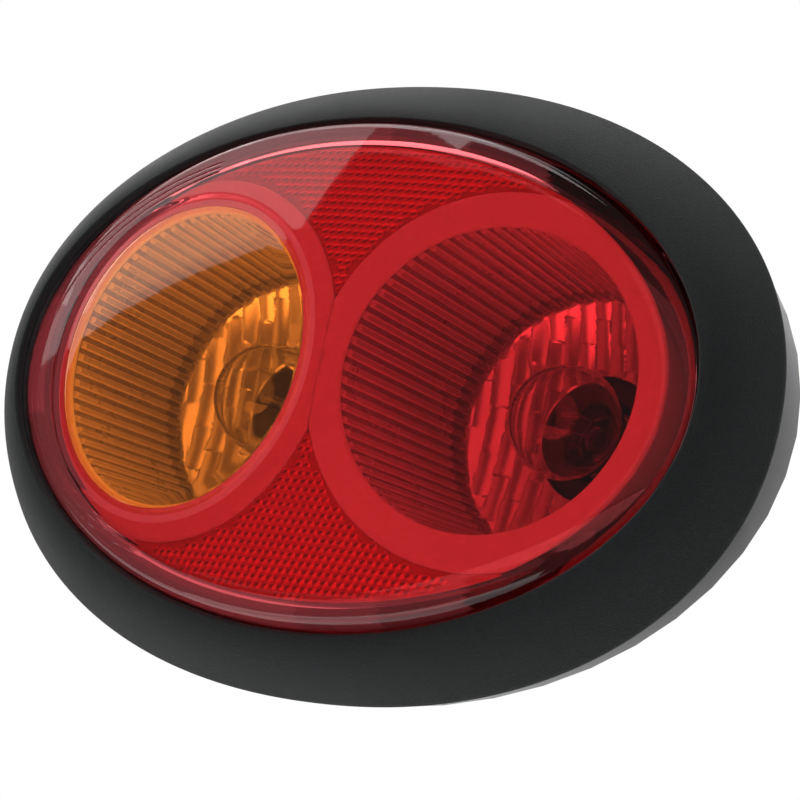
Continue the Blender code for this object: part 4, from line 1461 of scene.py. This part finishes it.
@dataclass
class Bulb:
    """Clear bayonet bulb with its coiled filaments."""

    form: LensForm
    chamber: Chamber
    filament_z: float = -31.4
    globe_r: float = 12.7
    glass_t: float = 0.7
    neck_r: float = 6.8
    neck_angle: float = 140.0
    neck_drop: float = 4.5
    foot_z: float = -56.85
    post_spacing: float = 6.0
    post_h: float = 14.0
    post_bend: tuple[float, float] = (0.3, 1.0)
    coil_r: float = 0.8
    coil_inset: float = 0.9
    coil_turns: int = 9
    coil_steps: int = 14
    wire_r: float = 0.2
    spacing: float = 4.0
    stagger: float = 1.8
    globe_bands: int = 40
    neck_bands: int = 9
    steps: int = 72
    sharp: float = 60.0

    def line(self, inset: float) -> list[tuple[float, float]]:
        """Outline of the glass.

        Args:
            inset: Depth below the outer face.

        Returns:
            Radius and height of each point, from the tip to the foot.
        """
        radius = self.globe_r - inset
        neck = self.neck_r - inset
        found = []
        for angle in spread(0.0, math.radians(self.neck_angle), self.globe_bands):
            found.append((max(radius * math.sin(angle), 0.0), self.filament_z + radius * math.cos(angle)))
        start_r, start_z = found[-1]
        for share in spread(0.0, 1.0, self.neck_bands)[1:]:
            ease = 1.0 - (1.0 - share) ** 2
            found.append((start_r + (neck - start_r) * ease, start_z - self.neck_drop * share))
        found.append((neck, self.foot_z))
        return found

    def build(self, finishes: Finishes) -> None:
        """Make the glass and the filaments.

        Args:
            finishes: Every finish.
        """
        x = self.form.middle(self.chamber)
        body = self.chamber.label + "_bulb"
        angles = turns(self.steps)
        outline = self.line(0.0) + self.line(self.glass_t)[::-1]
        rings = [circle(x, radius, z, angles) for radius, z in outline]
        glass = Loft(rings, False).build(self.chamber.label + "_globe", self.sharp)
        install(glass, finishes["clear_glass"], body, "clear_glass", body + "_glass")
        double = self.chamber is Chamber.STOP_TAIL
        names = ("stop_filament", "tail_filament") if double else ("indicator_filament",)
        for row, name in enumerate(names):
            y = (row - 0.5) * self.spacing if double else 0.0
            coil = self._coil(name + "_coil", x, y, self.filament_z - row * self.stagger)
            install(coil, finishes["filament_wire"], body, "filament_wire", name)

    def _coil(self, name: str, x: float, y: float, level: float) -> bpy.types.Object:
        """A filament between its two posts.

        Args:
            name: Name of the piece.
            x: Middle of the bulb.
            y: Row of the filament.
            level: Height of the coil.

        Returns:
            The new wire.
        """
        half = self.post_spacing / 2.0
        foot = self.filament_z - self.post_h
        across, drop = self.post_bend
        path = [(x - half, y, foot), (x - half, y, level - drop), (x - half + across, y, level)]
        count = self.coil_steps * self.coil_turns
        for i in range(count + 1):
            turn = 2.0 * math.pi * i / self.coil_steps
            along = x - half + self.coil_inset + 2.0 * (half - self.coil_inset) * i / count
            path.append((along, y + self.coil_r * math.sin(turn), level + self.coil_r * math.cos(turn)))
        path += [(x + half - across, y, level), (x + half, y, level - drop), (x + half, y, foot)]
        curve = bpy.data.curves.new(name, "CURVE")
        curve.dimensions = "3D"
        curve.bevel_depth = self.wire_r * MM
        curve.bevel_resolution = 2
        curve.use_fill_caps = True
        spline = curve.splines.new("POLY")
        spline.points.add(len(path) - 1)
        for point, place in zip(spline.points, path):
            point.co = (*to_part(place), 1.0)
        return put_in_scene(name, curve)


@dataclass
class Spring:
    """Coil behind a sprung disc, which closes up as the bulb is pushed in on the real lamp; this coil keeps
    one shape.
    """

    form: LensForm
    chamber: Chamber
    coil_r: float = 5.0
    wire_r: float = 0.4
    coils: int = 3
    top: float = -75.3
    foot: float = -79.4
    push: float = 2.5
    steps: int = 36
    sides: int = 10

    def build(self, finishes: Finishes) -> None:
        """Make the coil.

        Args:
            finishes: Every finish.
        """
        label = self.chamber.label
        middle = self.form.middle(self.chamber)
        count = self.steps * self.coils
        rings: list[list[Point]] = []
        for i in range(count + 1):
            turn = 2.0 * math.pi * i / self.steps
            level = self.top + (self.foot - self.top) * i / count
            ring = []
            for side in turns(self.sides):
                away = self.coil_r + self.wire_r * math.cos(side)
                height = level + self.wire_r * math.sin(side)
                ring.append((middle + away * math.cos(turn), away * math.sin(turn), height))
            rings.append(ring)
        piece = Loft(rings, False).build(f"{label}_coil")
        install(piece, finishes["zinc_steel"], f"{label}_holder", "zinc_steel", f"{label}_spring")
        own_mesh(piece)


@dataclass
class PackedParts:
    """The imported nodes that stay: welded, with eased edges and the finish of their slot."""

    frame: dict
    form: LensForm
    ease: float = 0.35
    ease_angle: float = 40.0
    crisp_angle: float = 35.0
    weld: float = 0.001
    tub_floor: float = -25.5
    tub_share: float = 0.999

    def dress(self, finishes: Finishes) -> None:
        """Give every node that still shows its finish.

        Args:
            finishes: Every finish.
        """
        slots = {row["node"]: row["material_slot"] for row in self.frame["record"]["subparts"]}
        for name, node in self.frame["nodes"].items():
            node.data.materials.clear()
            finishes.add(node, slots[name])
            if node.hide_render:
                continue
            if name == "rear_housing":
                self._line(node, finishes)
            self._ease(node)
            LOG.info("dressed %s as %s", name, slots[name])

    def _line(self, node: bpy.types.Object, finishes: Finishes) -> None:
        """Give the inside of the housing its own finish.

        Args:
            node: The housing.
            finishes: Every finish.
        """
        finishes.add(node, "tub_grey")
        for face in node.data.polygons:
            x, y, z = to_lamp(face.center)
            if self.form.share(x, y) < self.tub_share and z > self.tub_floor:
                face.material_index = 1

    def _ease(self, node: bpy.types.Object) -> None:
        """Weld a node and round its edges slightly.

        Args:
            node: The node.
        """
        custom = node.data.attributes.get("custom_normal")
        if custom is not None:
            node.data.attributes.remove(custom)
        for face in node.data.polygons:
            face.use_smooth = True
        weld = node.modifiers.new("Weld", "WELD")
        weld.merge_threshold = self.weld * MM
        bevel = node.modifiers.new("Ease", "BEVEL")
        bevel.width = self.ease * MM
        bevel.segments = 2
        bevel.limit_method = "ANGLE"
        bevel.angle_limit = math.radians(self.ease_angle)
        split = node.modifiers.new("Crisp", "EDGE_SPLIT")
        split.split_angle = math.radians(self.crisp_angle)


def set_upright(thing: bpy.types.Object, place: Point, right: Vector, up: Vector, back: Vector) -> None:
    """Place a lamp or camera by its own axes.

    Args:
        thing: The lamp or camera.
        place: Where it stands, in metres.
        right: Its right-hand direction.
        up: Its upward direction.
        back: The direction away from what it faces.
    """
    matrix = Matrix((right, up, back)).transposed().to_4x4()
    matrix.translation = Vector(place)
    thing.matrix_world = matrix


@dataclass(frozen=True)
class Softbox:
    """A flat lamp, by its middle in metres, the direction of its long side, its size and brightness."""

    name: str
    middle: Point
    along: Point
    size: tuple[float, float]
    radiance: float
    aim: Point = LAMP_MIDDLE
    mirrored: bool = True

    def build(self) -> None:
        """Make the lamp."""
        light = bpy.data.lights.new(self.name, "AREA")
        light.shape = "RECTANGLE"
        light.size, light.size_y = self.size
        light.energy = self.radiance * math.pi * self.size[0] * self.size[1]
        lamp = put_in_scene(self.name, light)
        back = (Vector(self.middle) - Vector(self.aim)).normalized()
        along = Vector(self.along)
        along = (along - along.dot(back) * back).normalized()
        set_upright(lamp, self.middle, along, back.cross(along), back)
        lamp.visible_camera = False
        lamp.visible_glossy = self.mirrored


@dataclass
class Studio:
    """Camera, lamps, world and floor, in metres."""

    camera_place: Point = (0.473211, -0.7208912, -0.1662131)
    camera_right: Point = (0.8381797, 0.5091002, 0.1956316)
    camera_up: Point = (-0.0628378, -0.2661641, 0.9618774)
    camera_back: Point = (0.5417621, -0.8185192, -0.1911026)
    camera_lens: float = 177.2782
    camera_sensor: float = 36.0
    camera_clip: tuple[float, float] = (0.05, 50.0)
    floor_z: float = -0.62
    floor_front: float = -0.2
    floor_reach: float = 3.0
    floor_tone: float = 0.85
    floor_glow: float = 0.8
    ambient: float = 0.12
    room: float = 0.12
    room_edge: tuple[float, float] = (-0.1, 0.3)
    lamps: tuple[Softbox, ...] = (
        Softbox(
            "left_softbox", (-2.6855, -0.8454, 1.3635), (-0.9961, 0.0245, -0.0851), (3.9, 2.2), 1.35,
            aim=(-2.6756, 0.1405, 1.5306),
        ),
        Softbox("top_softbox", (-0.587, -0.353, 1.186), (0.515, -0.857, 0.0), (1.3, 1.0), 2.6),
        Softbox(
            "side_softbox", (-1.25, 0.43, 0.74), (0.0, 1.0, 0.0), (1.74, 0.82), 1.6,
            aim=(-0.25, 0.43, 0.74),
        ),
        Softbox("low_fill", (-0.30, -0.35, -0.95), (1.0, 0.0, 0.0), (1.4, 0.8), 1.5),
        Softbox(
            "front_fill", (0.747, -0.774, 0.229), (0.719, 0.695, 0.0), (1.5, 1.5), 1.5, mirrored=False
        ),
        Softbox(
            "under_fill", (0.453, -0.785, -0.708), (0.866, 0.5, 0.0), (2.2, 0.6), 3.4, mirrored=False
        ),
    )

    def build(self) -> None:
        """Set the studio up."""
        self._camera()
        self._world()
        self._floor()
        for lamp in self.lamps:
            lamp.build()
        bpy.context.scene.view_settings.view_transform = "Standard"

    def _camera(self) -> None:
        """Place the camera."""
        data = bpy.data.cameras.new("camera")
        data.lens = self.camera_lens
        data.sensor_width = self.camera_sensor
        data.clip_start, data.clip_end = self.camera_clip
        camera = put_in_scene("camera", data)
        axes = (Vector(axis) for axis in (self.camera_right, self.camera_up, self.camera_back))
        set_upright(camera, self.camera_place, *axes)
        bpy.context.scene.camera = camera

    def _world(self) -> None:
        """Make the room: white behind the lamp, dim in front of it, and a plain ambient light."""
        world = bpy.data.worlds.new("room")
        bpy.context.scene.world = world
        world.use_nodes = True
        world.node_tree.nodes.clear()
        desk = Desk(world.node_tree)
        result = desk.put("ShaderNodeOutputWorld")
        shine = desk.put("ShaderNodeBackground", Color=(1.0, 1.0, 1.0, 1.0))
        path = desk.put("ShaderNodeLightPath")
        place = desk.put("ShaderNodeTexCoord")
        axes = desk.put("ShaderNodeSeparateXYZ")
        behind = desk.put(
            "ShaderNodeMapRange", interpolation_type="SMOOTHSTEP",
            From_Min=self.room_edge[0], From_Max=self.room_edge[1], To_Min=self.room, To_Max=1.0,
        )
        seen = desk.put("ShaderNodeMix", data_type="FLOAT", A=self.ambient)
        final = desk.put("ShaderNodeMix", data_type="FLOAT", B=1.0)
        mirrored = desk.larger(path.outputs["Is Glossy Ray"], path.outputs["Is Transmission Ray"])
        desk.wire(place.outputs["Generated"], axes.inputs["Vector"])
        desk.wire(axes.outputs["Y"], behind.inputs["Value"])
        desk.wire(mirrored, seen.inputs[0])
        desk.wire(behind.outputs["Result"], seen.inputs[3])
        desk.wire(path.outputs["Is Camera Ray"], final.inputs[0])
        desk.wire(seen.outputs[0], final.inputs[2])
        desk.wire(final.outputs[0], shine.inputs["Strength"])
        desk.wire(shine.outputs["Background"], result.inputs["Surface"])

    def _floor(self) -> None:
        """Make the pale floor, which glows to the camera and in mirrors but keeps its shadow."""
        reach, front, level = self.floor_reach, self.floor_front, self.floor_z
        corners = ((-reach, front), (reach, front), (reach, reach), (-reach, reach))
        mesh = bpy.data.meshes.new("floor")
        mesh.from_pydata([(x, y, level) for x, y in corners], [], [(0, 1, 2, 3)])
        floor = put_in_scene("floor", mesh)
        desk = MaterialDesk("pale_floor")
        desk.set(Base_Color=(*grey(self.floor_tone), 1.0), Roughness=0.9)
        path = desk.put("ShaderNodeLightPath")
        glow = desk.put("ShaderNodeEmission")
        share = desk.put("ShaderNodeMath", operation="MULTIPLY")
        share.inputs[1].default_value = self.floor_glow
        mirrored = desk.larger(path.outputs["Is Glossy Ray"], path.outputs["Is Transmission Ray"])
        desk.wire(desk.larger(path.outputs["Is Camera Ray"], mirrored), share.inputs[0])
        desk.mix(share.outputs[0], glow.outputs["Emission"])
        mesh.materials.append(desk.material)


def main() -> None:
    """Build the lamp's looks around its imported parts."""
    logging.basicConfig(level=logging.INFO, format="%(name)s: %(message)s")
    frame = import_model()
    finishes = Finishes()
    form = LensForm()
    Studio().build()
    Bezel(form).build(finishes)
    Lens(form).build(finishes)
    for chamber in Chamber:
        Insert(form, chamber).build(finishes)
        Reflector(form, chamber).build(finishes)
        Bulb(form, chamber).build(finishes)
        Spring(form, chamber).build(finishes)
    for edge in Edge:
        Reflex(form, edge).build(finishes)
    PackedParts(frame, form).dress(finishes)


if __name__ == "__main__":
    main()
